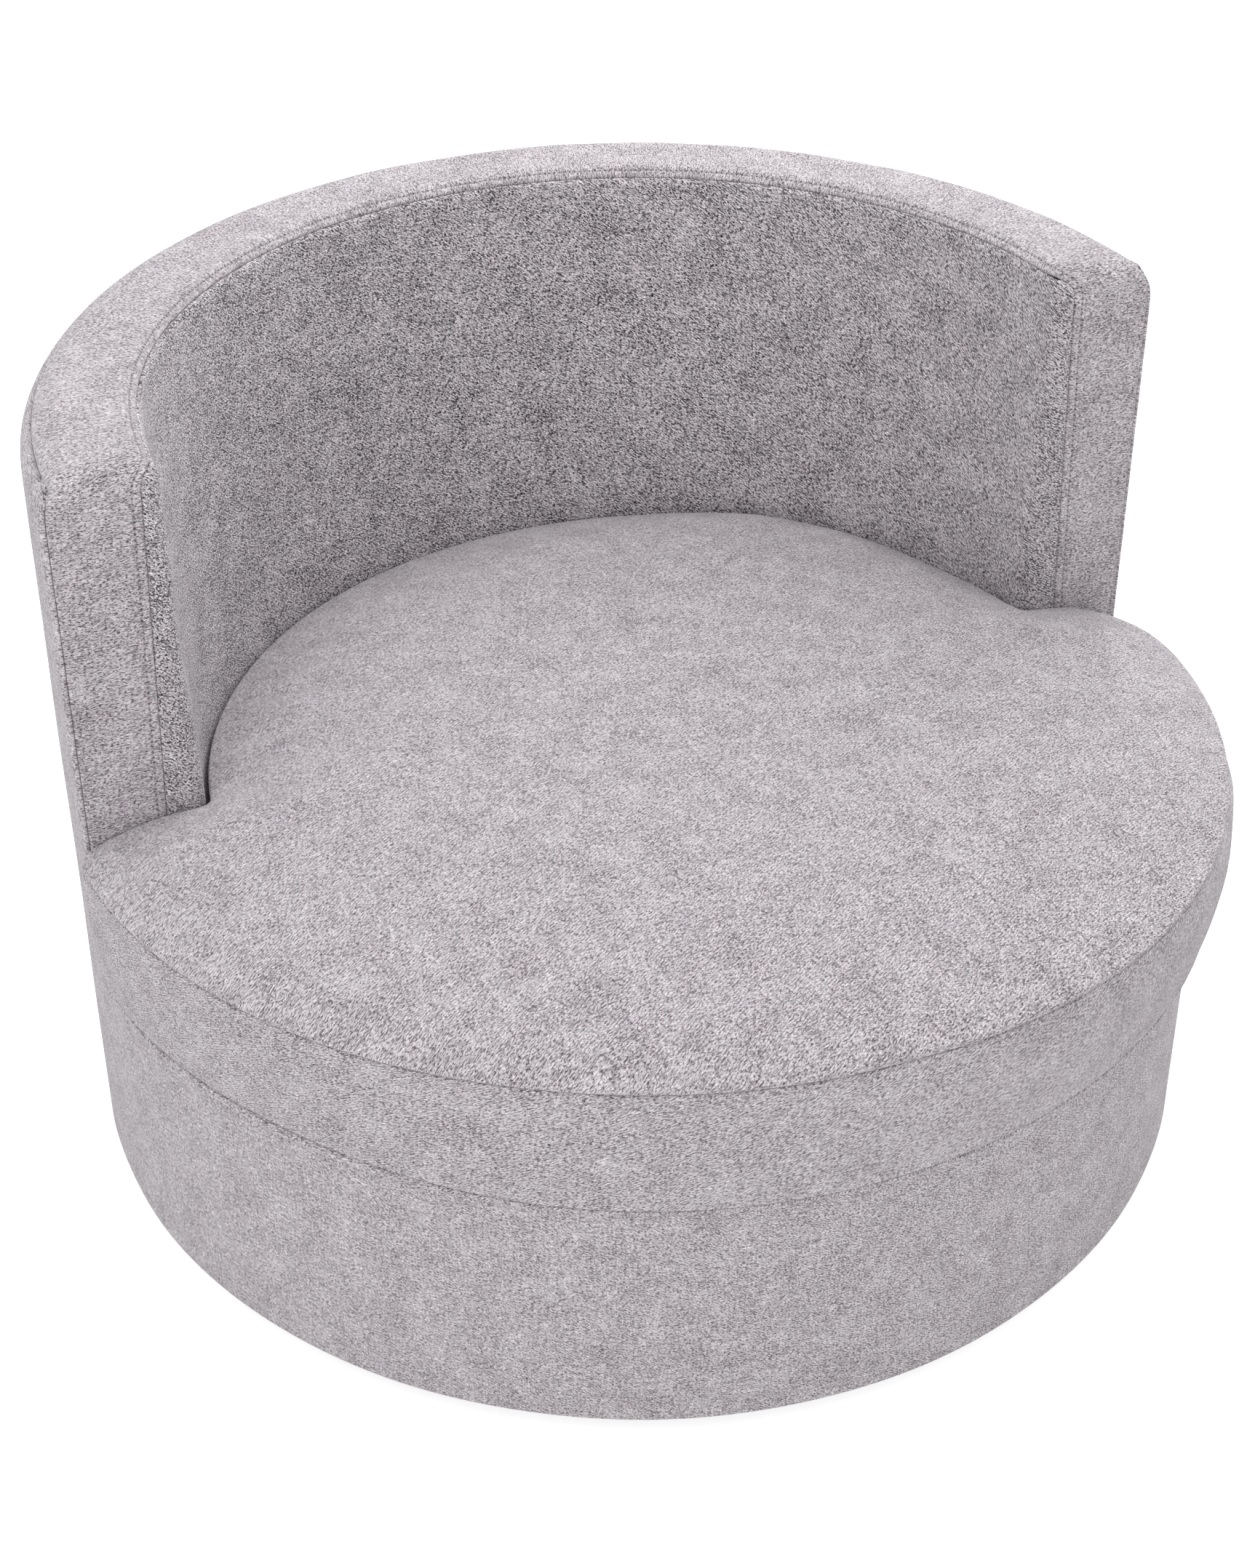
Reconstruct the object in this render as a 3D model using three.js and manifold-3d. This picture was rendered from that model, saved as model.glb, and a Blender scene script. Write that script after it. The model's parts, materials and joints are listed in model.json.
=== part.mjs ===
// A round swivel lounge chair: a drum base, a half-round reclined back and one loose cushion.
// Millimetres, +Z up, front of the chair towards -Y. The origin is on the floor, on the swivel axis.
import * as THREE from "three";
import { mergeVertices } from "three/addons/utils/BufferGeometryUtils.js";
import Module from "manifold-3d";

const wasm = await Module();
wasm.setup();

// Driving sizes of the finished chair
const OUTSIDE_RADIUS = 520; // covered outside of base and back
const CHAIR_HEIGHT = 748; // floor to the top of the back
const FLOOR_GAP = 20; // floor to the underside of the base
const DECK_HEIGHT = 268; // floor to the deck that the cushion lies on
const ARM_THICKNESS = 104; // finished thickness of the back at its top and at the arm ends
const BACK_RECLINE = 73; // how far the inside back comes forward from its top to the recline level
const RECLINE_LEVEL = 405; // height at which that is measured
const TOP_OUTER_RADIUS = 40; // rounding of the top's outer edge
const TOP_INNER_RADIUS = 20; // rounding of the top's inner edge
const FACING_TOP_RADIUS = 25; // rounding where the top turns down the arm ends
const FACING_CORNER_RADIUS = 12; // rounding of the arm ends' inner corners
const FACING_EDGE_RADIUS = 8; // rounding of the arm ends' outer corners

// Seat cushion
const CUSHION_OVERHANG = 14; // how far it stands out over the base
const CUSHION_BOXING = 128; // bottom seam to top seam
const CUSHION_CROWN = 46; // rise of the top above its seam
const CUSHION_DRAW_IN = 3; // how far the boxing is drawn in between its seams
const CUSHION_CLEARANCE = 1.5; // to the inside back
const EAR_RADIUS = 60; // rounding of the two ears in front of the arm ends
const EAR_STEPS = 4; // facets of that rounding
const CUSHION_CENTRE_RADIUS = 110; // flat middle of the crown
const CUSHION_CENTRE_FORWARD = 60; // that middle lies forward of the swivel axis
const CROWN_POWER = 2.6; // how late the crown falls off towards the seam
const CROWN_RING_SHARES = [0.3, 0.6, 0.82, 0.95]; // rings of the crown between middle and seam

// Clearances
const SEAT_GAP = 0.3; // between pieces that touch
const RUNNING_GAP = 0.5; // round the balls
const OVERRUN = 20; // cutting shapes reach past what they cut by this

// Sheet goods and cloth
const COVER_THICKNESS = 2;
const PADDING_THICKNESS = 8;
const FOAM_THICKNESS = 40;
const FACING_FOAM_THICKNESS = 24.7;
const OUTSIDE_PANEL_THICKNESS = 4;
const INSIDE_PANEL_THICKNESS = 3;
const PLYWOOD_THICKNESS = 18;
const DUST_COVER_THICKNESS = 1;
const DECK_PAD_THICKNESS = 9.3;
const HEM_WIDTH = 48; // turned under the base and over its front edge

// Plywood frame
const RING_WIDTH = 80;
const TOP_FOAM_THICKNESS = 27.4; // over the top rail
const UPRIGHT_PITCH = 30; // degrees between ribs and posts
const LAP_SHARE = 0.5; // depth of the cross-lap between rib and seat ring

// Seam lines of the back's covers
const INNER_SEAM_DROP = 8; // inner band seam, below the top
const OUTER_SEAM_INSET = 12; // outer band seam, in from the outside
const OUTER_SEAM_DROP = 12; // and below the top
const FACING_SEAM_TOP = 18; // inner facing seam, in from the inner corner, at the top
const FACING_SEAM_BOTTOM = 34; // and at the deck

// Seat suspension
const WIRE = 4;
const SPRING_PITCH = 42; // between neighbouring bars of a spring
const SPRING_HALF_WIDTH = 24;
const SPRING_BAR_HALF = 14; // straight half of each bar
const SPRING_OFFSET_SHARES = [-0.7, -0.42, -0.14, 0.14, 0.42, 0.7]; // across the seat opening
const CLIP_THICKNESS = 1.5;
const CLIP_WIDTH = 34;
const CLIP_REACH = 15; // how far the spring's end bar lies onto the seat ring
const CLIP_FLOOR = 8; // clip's floor in front of the bar
const CLIP_LIP = 3; // how far its lip folds back past the bar's middle

// Swivel and plinth
const PLINTH_RADIUS = 340;
const PLINTH_HOLE_RADIUS = 40;
const GLIDE_RADIUS = 14;
const GLIDE_HEIGHT = 5;
const GLIDE_INSET = 30; // middle of each glide to the edge of the plinth
const GLIDES = 6;
const PLATE_SIDE = 305;
const PLATE_CORNER = 24;
const PLATE_THICKNESS = 2;
const PLATE_HOLE_RADIUS = 45;
const BALL_RADIUS = 4;
const BALL_CIRCLE = 110;
const BALLS = 14;
const RACE_SPACING = 3; // race walls to the balls' circle
const RACE_DEPTH = 7; // radial width of each race ring
const RACE_REACH = 5.5; // race rings' height beyond the balls' middle
const CAGE_WIRE = 1.6;
const FIXING_OFFSET = 128; // bolt holes from the swivel axis, along X and Y
const BOLT_RADIUS = 3;
const BOLT_HEAD_RADIUS = 6;
const BOLT_HEAD_HEIGHT = 4;
const BOLT_LENGTH = 24;
const SCREW_RADIUS = 2.5;
const SCREW_HEAD_RADIUS = 5;
const SCREW_HEAD_HEIGHT = 3;
const SCREW_LENGTH = 16;
const RAIL_WIDTH = 45;
const RAIL_HEIGHT = 30;
const RAIL_END_INSET = 25; // rail ends to the outside of the bottom ring
const PLATE_SPACE = 13; // between the two plates

// Facets: every ring and shell of the body shares one angular grid
const SEGMENTS = 60;
const SMALL_SEGMENTS = 32;
const FIXING_SEGMENTS = 8;
const ARC_STEPS = 3;
const REAR_FIRST_STEP = 3; // the cushion's rear arc starts this many facets from the side
const STEP_ANGLE = (2 * Math.PI) / SEGMENTS;
const FACET_FALL = Math.tan(STEP_ANGLE / 2); // a facet falls this much per unit along it from its corner

// Levels, from the floor up
const plinthBottom = GLIDE_HEIGHT + SEAT_GAP;
const plinthTop = plinthBottom + PLYWOOD_THICKNESS;
const lowerPlateBottom = plinthTop + SEAT_GAP;
const lowerPlateTop = lowerPlateBottom + PLATE_THICKNESS;
const upperPlateBottom = lowerPlateTop + PLATE_SPACE;
const upperPlateTop = upperPlateBottom + PLATE_THICKNESS;
const ballLevel = (lowerPlateTop + upperPlateBottom) / 2;
const bottomRingBottom = FLOOR_GAP + COVER_THICKNESS + SEAT_GAP;
const bottomRingTop = bottomRingBottom + PLYWOOD_THICKNESS;
const railBottom = upperPlateTop + SEAT_GAP;
const deckCoverBottom = DECK_HEIGHT - COVER_THICKNESS;
const deckPadTop = deckCoverBottom - SEAT_GAP;
const deckPadBottom = deckPadTop - DECK_PAD_THICKNESS;
const springTop = deckPadBottom - SEAT_GAP;
const springMiddle = springTop - WIRE / 2;
const clipTop = springTop + SEAT_GAP + CLIP_THICKNESS;
const seatRingTop = springMiddle - WIRE / 2 - SEAT_GAP - CLIP_THICKNESS;
const seatRingBottom = seatRingTop - PLYWOOD_THICKNESS;
const backBottom = DECK_HEIGHT + SEAT_GAP;
const topRailTop = CHAIR_HEIGHT - COVER_THICKNESS - SEAT_GAP - TOP_FOAM_THICKNESS;
const topRailBottom = topRailTop - PLYWOOD_THICKNESS;
const topArcLevel = CHAIR_HEIGHT - TOP_OUTER_RADIUS;

// Radii, from the outside in
const coverInner = OUTSIDE_RADIUS - COVER_THICKNESS;
const paddingOuter = coverInner - SEAT_GAP;
const paddingInner = paddingOuter - PADDING_THICKNESS;
const panelOuter = paddingInner - SEAT_GAP;
const panelInner = panelOuter - OUTSIDE_PANEL_THICKNESS;
const frameRadius = panelInner - SEAT_GAP;
const ringInner = frameRadius - RING_WIDTH;
const lapRadius = ringInner + RING_WIDTH * LAP_SHARE;
const deckRadius = ringInner - 2 * SEAT_GAP;
const insideTopRadius = OUTSIDE_RADIUS - ARM_THICKNESS;
const glideCircle = PLINTH_RADIUS - GLIDE_INSET;
const springOffsets = SPRING_OFFSET_SHARES.map((share) => share * ringInner);

// Layers of the inside back, counted in from its finished face
const foamInset = COVER_THICKNESS + SEAT_GAP;
const insidePanelInset = foamInset + FOAM_THICKNESS + SEAT_GAP;
const ribInset = insidePanelInset + INSIDE_PANEL_THICKNESS + SEAT_GAP;
const armRibFront = foamInset + FACING_FOAM_THICKNESS + SEAT_GAP;
const armRibBack = armRibFront + PLYWOOD_THICKNESS;

// Materials, one for each finish
const FINISHES = {
  cloth: { color: 0xbdb8ba, roughness: 0.95, metalness: 0 },
  bandCloth: { color: 0xc4c0c2, roughness: 0.95, metalness: 0 },
  foam: { color: 0xe8e2cf, roughness: 0.9, metalness: 0 },
  fibre: { color: 0xf0efec, roughness: 1, metalness: 0 },
  felt: { color: 0x8e8b86, roughness: 1, metalness: 0 },
  lining: { color: 0x2b2b2d, roughness: 0.9, metalness: 0 },
  plywood: { color: 0xcfa873, roughness: 0.7, metalness: 0 },
  hardboard: { color: 0x7d5a3c, roughness: 0.75, metalness: 0 },
  steel: { color: 0x9a9da1, roughness: 0.35, metalness: 1 },
  springSteel: { color: 0x6e7074, roughness: 0.45, metalness: 1 },
  glide: { color: 0x35353a, roughness: 0.6, metalness: 0 },
};

const chair = new THREE.Group();

function add(name, shape, finish) {
  const material = new THREE.MeshStandardMaterial(FINISHES[finish]);
  const mesh = new THREE.Mesh(toGeometry(shape), material);
  mesh.name = name;
  chair.add(mesh);
}

// Solids and geometries

function signedVolume(position, index) {
  const corner = [0, 1, 2].map(() => new THREE.Vector3());
  let sum = 0;
  for (let i = 0; i < index.length; i += 3) {
    corner.forEach((c, k) => c.fromArray(position, index[i + k] * 3));
    sum += corner[0].dot(corner[1].clone().cross(corner[2])) / 6;
  }
  return sum;
}

function toSolid(geometry) {
  const bare = geometry.clone();
  bare.deleteAttribute("normal");
  bare.deleteAttribute("uv");
  const merged = mergeVertices(bare);
  const all = merged.index.array;
  const kept = [];
  for (let i = 0; i < all.length; i += 3) {
    const [a, b, c] = [all[i], all[i + 1], all[i + 2]];
    if (a !== b && b !== c && c !== a) kept.push(a, b, c);
  }
  const vertProperties = new Float32Array(merged.attributes.position.array);
  if (signedVolume(vertProperties, kept) < 0) kept.reverse();
  const triVerts = new Uint32Array(kept);
  return new wasm.Manifold(new wasm.Mesh({ numProp: 3, vertProperties, triVerts }));
}

function toGeometry(solid) {
  const mesh = solid.getMesh();
  const geometry = new THREE.BufferGeometry();
  const position = new Float32Array(mesh.vertProperties);
  geometry.setAttribute("position", new THREE.BufferAttribute(position, 3));
  geometry.setIndex(new THREE.BufferAttribute(new Uint32Array(mesh.triVerts), 1));
  return geometry;
}

function box(low, high) {
  const size = high.map((h, i) => h - low[i]);
  const middle = high.map((h, i) => (h + low[i]) / 2);
  return toSolid(new THREE.BoxGeometry(...size).translate(...middle));
}

// A profile of [radius, height] points, turned about the vertical axis
function revolve(profile, segments = SEGMENTS) {
  const closed = profile[0][0] === 0 ? profile : [...profile, profile[0]];
  const points = closed.map(([radius, height]) => new THREE.Vector2(radius, height));
  return toSolid(new THREE.LatheGeometry(points, segments).rotateX(Math.PI / 2));
}

function ring(inner, outer, bottom, top, segments = SEGMENTS) {
  return revolve([[inner, bottom], [outer, bottom], [outer, top], [inner, top]], segments);
}

function disc(radius, bottom, top, segments = SEGMENTS) {
  return revolve([[0, bottom], [radius, bottom], [radius, top], [0, top]], segments);
}

// A flat outline of [x, y] points, as thick as given, standing on the plane z = 0
function slab(outline, thickness) {
  const shape = new THREE.Shape(outline.map(([x, y]) => new THREE.Vector2(x, y)));
  return toSolid(new THREE.ExtrudeGeometry(shape, { depth: thickness, bevelEnabled: false }));
}

// Sections of equally many points, joined one to the next, with a cap on each end
function loft(sections, capPlane) {
  const count = sections[0].length;
  const position = sections.flat().flatMap((p) => p.toArray());
  const index = [];
  for (let s = 0; s + 1 < sections.length; s++)
    for (let i = 0; i < count; i++) {
      const j = (i + 1) % count;
      const [a, b, c, d] = [s * count + i, s * count + j, (s + 1) * count + j, (s + 1) * count + i];
      index.push(a, b, c, a, c, d);
    }
  const cap = THREE.ShapeUtils.triangulateShape(sections[0].map(capPlane), []);
  const last = (sections.length - 1) * count;
  const turn = THREE.ShapeUtils.area(sections[0].map(capPlane)) > 0;
  for (const [a, b, c] of cap) {
    if (turn) index.push(c, b, a, last + a, last + b, last + c);
    else index.push(a, b, c, last + c, last + b, last + a);
  }
  const geometry = new THREE.BufferGeometry();
  geometry.setAttribute("position", new THREE.Float32BufferAttribute(position, 3));
  geometry.setIndex(index);
  return toSolid(geometry);
}

// Keeps what lies behind the plane y = front, or in front of it
const REACH = OUTSIDE_RADIUS + CUSHION_OVERHANG + OVERRUN;
const behind = (y) => box([-REACH, y, -OVERRUN], [REACH, REACH, CHAIR_HEIGHT + OVERRUN]);
const inFront = (y) => box([-REACH, -REACH, -OVERRUN], [REACH, y, CHAIR_HEIGHT + OVERRUN]);

// The inside back is a round cylinder that leans back: its circle moves rearward as it rises

const reclineTop = CHAIR_HEIGHT - TOP_INNER_RADIUS;

// How far forward that circle's centre lies at a height
function forwardAt(height) {
  const drop = (reclineTop - height) / (reclineTop - RECLINE_LEVEL);
  return BACK_RECLINE * Math.max(0, drop);
}

function arc(centre, radius, from, to, steps) {
  return Array.from({ length: steps + 1 }, (_, i) => {
    const angle = from + ((to - from) * i) / steps;
    return [centre[0] + radius * Math.cos(angle), centre[1] + radius * Math.sin(angle)];
  });
}

// A point of the leaning cylinder's section: radius, height and how far forward
const leaning = (radius, height) => [radius, height, forwardAt(height)];

// Carries a section of [radius, height, forward] points round the half circle of the back
function backShell(section) {
  const sections = [];
  for (let step = -1; step <= SEGMENTS / 2 + 1; step++) {
    const [across, along] = [Math.cos(step * STEP_ANGLE), Math.sin(step * STEP_ANGLE)];
    const place = ([r, z, forward = 0]) => new THREE.Vector3(r * across, r * along - forward, z);
    sections.push(section.map(place));
  }
  return loft(sections, (p) => new THREE.Vector2(p.x, p.z));
}

// Section of the whole back, all its faces moved in by an inset
function backSection(inset, bottom) {
  const innerCentre = [insideTopRadius + TOP_INNER_RADIUS, reclineTop];
  const outerCentre = [OUTSIDE_RADIUS - TOP_OUTER_RADIUS, topArcLevel];
  const quarter = Math.PI / 2;
  return [
    [OUTSIDE_RADIUS - inset, bottom],
    ...arc(outerCentre, TOP_OUTER_RADIUS - inset, 0, quarter, ARC_STEPS),
    ...arc(innerCentre, TOP_INNER_RADIUS - inset, quarter, 2 * quarter, ARC_STEPS),
    leaning(insideTopRadius + inset, bottom),
  ];
}

// Rounds one upright corner of an arm end: at each level an arc that touches the arm end's plane
// and the round face beside it, whose circle has the given radius and lies forward as the face leans
function cornerCutter(faceRadius, side, round, inset, bottom) {
  const levels = [bottom - OVERRUN, RECLINE_LEVEL, reclineTop, CHAIR_HEIGHT + OVERRUN];
  const sections = levels.map((height) => {
    const forward = side < 0 ? forwardAt(height) : 0;
    const centreX = Math.sqrt((faceRadius - side * round) ** 2 - (round + forward) ** 2);
    const outward = Math.atan2(round + forward, centreX);
    const end = side < 0 ? outward - Math.PI : outward;
    const edge = arc([centreX, round], round - inset, -Math.PI / 2, end, ARC_STEPS);
    const tip = [centreX + (round + OVERRUN) * Math.cos(end), round + (round + OVERRUN) * Math.sin(end)];
    const outline = [[centreX, -OVERRUN], ...edge, tip, [tip[0], -OVERRUN]];
    return outline.map(([x, y]) => new THREE.Vector3(x, y, height));
  });
  return loft(sections, (p) => new THREE.Vector2(p.x, p.y));
}

// The whole back as one block, its finished faces moved in by an inset
function backBlock(inset, bottom) {
  const level = CHAIR_HEIGHT - FACING_TOP_RADIUS;
  const front = [
    ...arc([FACING_TOP_RADIUS, level], FACING_TOP_RADIUS - inset, Math.PI, Math.PI / 2, ARC_STEPS),
    [REACH, CHAIR_HEIGHT - inset],
    [REACH, -OVERRUN],
    [inset, -OVERRUN],
  ];
  const clip = slab(front, 2 * REACH).rotate([90, 0, 90]).translate(-REACH, 0, 0);
  let block = backShell(backSection(inset, bottom)).intersect(clip);
  const inner = cornerCutter(insideTopRadius, -1, FACING_CORNER_RADIUS, inset, bottom);
  const outer = cornerCutter(OUTSIDE_RADIUS, 1, FACING_EDGE_RADIUS, inset, bottom);
  for (const cutter of [inner, outer, inner.mirror([1, 0, 0]), outer.mirror([1, 0, 0])])
    block = block.subtract(cutter);
  return block;
}

// Everything behind the foam: the room for frame and panels
function frameSpace() {
  const foamBack = insideTopRadius + foamInset + FOAM_THICKNESS;
  const wall = backShell([
    [panelOuter + SEAT_GAP, backBottom - OVERRUN],
    [panelOuter + SEAT_GAP, topRailTop + SEAT_GAP],
    leaning(foamBack, topRailTop + SEAT_GAP),
    leaning(foamBack, backBottom - OVERRUN),
  ]);
  const under = disc(panelOuter + SEAT_GAP, -OVERRUN, backBottom);
  return wall.add(under).intersect(behind(armRibFront - SEAT_GAP));
}

// The foam comes in two halves that meet at the middle of the back
function addBackFoam() {
  const block = backBlock(foamInset, seatRingTop + SEAT_GAP);
  const deck = disc(deckRadius + SEAT_GAP, -OVERRUN, backBottom);
  const padding = ring(panelOuter + SEAT_GAP / 2, REACH, -OVERRUN, topArcLevel);
  const foam = block.subtract(frameSpace()).subtract(deck).subtract(padding);
  const right = box([SEAT_GAP / 2, -REACH, -OVERRUN], [REACH, REACH, CHAIR_HEIGHT + OVERRUN]);
  add("back_foam_right", foam.intersect(right), "foam");
  add("back_foam_left", foam.intersect(right.mirror([1, 0, 0])), "foam");
}

// Region on the seat side of the inner seams, grown by a gap
function insideRegion(gap) {
  const seamTop = CHAIR_HEIGHT - INNER_SEAM_DROP + gap;
  return revolve([
    [0, -OVERRUN],
    [insideTopRadius + FACING_SEAM_BOTTOM + gap, -OVERRUN],
    [insideTopRadius + FACING_SEAM_BOTTOM + gap, DECK_HEIGHT],
    [insideTopRadius + FACING_SEAM_TOP + gap, seamTop],
    [0, seamTop],
  ]);
}

// Region outside the outer seam, grown by a gap
function outsideRegion(gap) {
  const seamTop = CHAIR_HEIGHT - OUTER_SEAM_DROP + gap;
  return ring(OUTSIDE_RADIUS - OUTER_SEAM_INSET - gap, REACH, -OVERRUN, seamTop);
}

// The base's cloth: outside, and the hems turned under it and over its edge
function baseCover(hasTopHem) {
  const hemInner = OUTSIDE_RADIUS - HEM_WIDTH;
  const outline = [
    [hemInner, FLOOR_GAP],
    [OUTSIDE_RADIUS, FLOOR_GAP],
    [OUTSIDE_RADIUS, DECK_HEIGHT],
  ];
  if (hasTopHem)
    outline.push(
      [ringInner, DECK_HEIGHT],
      [ringInner, deckCoverBottom],
      [coverInner, deckCoverBottom],
    );
  else outline.push([coverInner, DECK_HEIGHT]);
  outline.push([coverInner, FLOOR_GAP + COVER_THICKNESS], [hemInner, FLOOR_GAP + COVER_THICKNESS]);
  return revolve(outline);
}

function addBackCovers() {
  const bottom = seatRingTop + SEAT_GAP;
  const deck = disc(deckRadius + SEAT_GAP, -OVERRUN, backBottom);
  const shell = backBlock(0, bottom).subtract(backBlock(COVER_THICKNESS, bottom - OVERRUN));
  const covers = shell.subtract(deck);
  const back = behind(armRibFront - SEAT_GAP);
  const low = disc(panelOuter, -OVERRUN, backBottom).intersect(back);
  add("inside_back_cover", covers.intersect(insideRegion(0)).subtract(low), "cloth");
  const outside = covers.intersect(outsideRegion(0));
  const skirt = baseCover(false).intersect(behind(0));
  add("outside_back_cover", outside.add(skirt), "cloth");
  const band = covers.subtract(insideRegion(SEAT_GAP)).subtract(outsideRegion(SEAT_GAP));
  add("top_band_cover", band, "bandCloth");
}

// Frame

function uprightPlate(outline, thickness) {
  return slab(outline, thickness).rotate([90, 0, 0]).translate(0, thickness / 2, 0);
}

const uprightOuter = frameRadius - (PLYWOOD_THICKNESS / 2) * FACET_FALL;

// The room of the inside panel and all that lies in front of it, which trims the ribs' edges
function liningSpace() {
  const [low, high] = [backBottom - SEAT_GAP, topRailTop];
  const back = insideTopRadius + ribInset;
  return backShell([
    leaning(back - OVERRUN, low),
    leaning(back, low),
    leaning(back, high),
    leaning(back - OVERRUN, high),
  ]);
}

// Distance from the swivel axis to a leaning circle, along one direction and at one height
function reachTo(radius, angle, height) {
  const forward = forwardAt(height);
  const side = forward * Math.cos(angle);
  return Math.sqrt(radius ** 2 - side ** 2) - forward * Math.sin(angle);
}

// A rib from the bottom ring to the top rail, halved over the seat ring
function ribOutline(angle, outer) {
  const top = topRailBottom - SEAT_GAP;
  const innerAt = (height) => reachTo(insideTopRadius + insidePanelInset, angle, height);
  return [
    [ringInner, bottomRingTop + SEAT_GAP],
    [outer, bottomRingTop + SEAT_GAP],
    [outer, seatRingBottom - SEAT_GAP],
    [lapRadius, seatRingBottom - SEAT_GAP],
    [lapRadius, seatRingTop + SEAT_GAP],
    [outer, seatRingTop + SEAT_GAP],
    [outer, top],
    [innerAt(top), top],
    [innerAt(backBottom), backBottom],
    [ringInner, backBottom],
  ];
}

const ribAngles = [1, 2, 3, 4, 5].map((i) => i * UPRIGHT_PITCH);
const postAngles = ribAngles.map((angle) => -angle);
const radians = THREE.MathUtils.degToRad;

function addUprights() {
  const lining = liningSpace();
  ribAngles.forEach((angle, i) => {
    const rib = uprightPlate(ribOutline(radians(angle), uprightOuter), PLYWOOD_THICKNESS);
    add(`back_rib_${i + 1}`, rib.rotate([0, 0, angle]).subtract(lining), "plywood");
  });
  postAngles.forEach((angle, i) => {
    const low = [ringInner, -PLYWOOD_THICKNESS / 2, bottomRingTop + SEAT_GAP];
    const high = [uprightOuter, PLYWOOD_THICKNESS / 2, seatRingBottom - SEAT_GAP];
    add(`front_post_${i + 1}`, box(low, high).rotate([0, 0, angle]), "plywood");
  });
  const outer = frameRadius - armRibBack * FACET_FALL;
  const arm = slab(ribOutline(0, outer), PLYWOOD_THICKNESS).rotate([90, 0, 0]);
  const right = arm.translate(0, armRibBack, 0).subtract(lining);
  add("arm_end_rib_right", right, "plywood");
  add("arm_end_rib_left", right.mirror([1, 0, 0]), "plywood");
}

// A bent-up clip that holds a spring's end bar; it lies on the seat ring and opens towards -Y
function springClip() {
  const [floor, wall] = [-CLIP_FLOOR, WIRE / 2 + SEAT_GAP];
  const outline = [
    [floor, -CLIP_THICKNESS],
    [wall + CLIP_THICKNESS, -CLIP_THICKNESS],
    [wall + CLIP_THICKNESS, clipTop - seatRingTop],
    [-CLIP_LIP, clipTop - seatRingTop],
    [-CLIP_LIP, clipTop - seatRingTop - CLIP_THICKNESS],
    [wall, clipTop - seatRingTop - CLIP_THICKNESS],
    [wall, CLIP_THICKNESS],
    [floor, CLIP_THICKNESS],
  ];
  const clip = slab(outline, CLIP_WIDTH).rotate([90, 0, 90]);
  return clip.translate(-CLIP_WIDTH / 2, 0, seatRingTop);
}

const springReach = (x) => Math.sqrt((ringInner + CLIP_REACH) ** 2 - x ** 2);

function seatRing() {
  const slotHalf = PLYWOOD_THICKNESS / 2 + SEAT_GAP;
  const [bottom, top] = [seatRingBottom - OVERRUN, seatRingTop + OVERRUN];
  const slotOuter = lapRadius + SEAT_GAP;
  let shape = ring(ringInner, frameRadius, seatRingBottom, seatRingTop);
  const slot = box([ringInner - OVERRUN, -slotHalf, bottom], [slotOuter, slotHalf, top]);
  for (const angle of ribAngles) shape = shape.subtract(slot.rotate([0, 0, angle]));
  const armSlot = box(
    [ringInner - OVERRUN, armRibFront - SEAT_GAP, bottom],
    [slotOuter, armRibBack + SEAT_GAP, top],
  );
  shape = shape.subtract(armSlot).subtract(armSlot.mirror([1, 0, 0]));
  for (const x of springOffsets) {
    const clip = springClip().translate(0, springReach(x), 0);
    shape = shape.add(clip.translate(x, 0, 0)).add(clip.mirror([0, 1, 0]).translate(x, 0, 0));
  }
  return shape;
}

// A spring of parallel bars joined by bends, laid from the front clip to the rear one
function seatSpring(x) {
  const reach = springReach(x);
  const bars = 2 * Math.round(reach / SPRING_PITCH) + 1;
  const pitch = (2 * reach) / (bars - 1);
  const path = [];
  for (let bar = 0; bar < bars; bar++) {
    const y = -reach + bar * pitch;
    const side = bar % 2 ? -1 : 1;
    path.push([x - side * SPRING_BAR_HALF, y], [x + side * SPRING_BAR_HALF, y]);
    if (bar + 1 < bars) path.push([x + side * SPRING_HALF_WIDTH, y + pitch / 2]);
  }
  return wireAlong(path, springMiddle, WIRE);
}

// A wire of square section along a flat path, mitred at its bends
function wireAlong(path, level, thickness) {
  const points = path.map(([x, y]) => new THREE.Vector2(x, y));
  const heading = (i) => points[i + 1].clone().sub(points[i]).normalize();
  const sections = points.map((point, i) => {
    const before = heading(Math.max(i - 1, 0));
    const after = heading(Math.min(i, points.length - 2));
    const along = before.clone().add(after).normalize();
    const mitre = thickness / 2 / along.dot(after);
    const across = new THREE.Vector2(-along.y, along.x).multiplyScalar(mitre);
    const corner = (side, z) =>
      new THREE.Vector3(point.x + side * across.x, point.y + side * across.y, z);
    const [low, high] = [level - thickness / 2, level + thickness / 2];
    return [corner(-1, low), corner(1, low), corner(1, high), corner(-1, high)];
  });
  return loft(sections, (p) => new THREE.Vector2(p.y, p.z));
}

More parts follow.
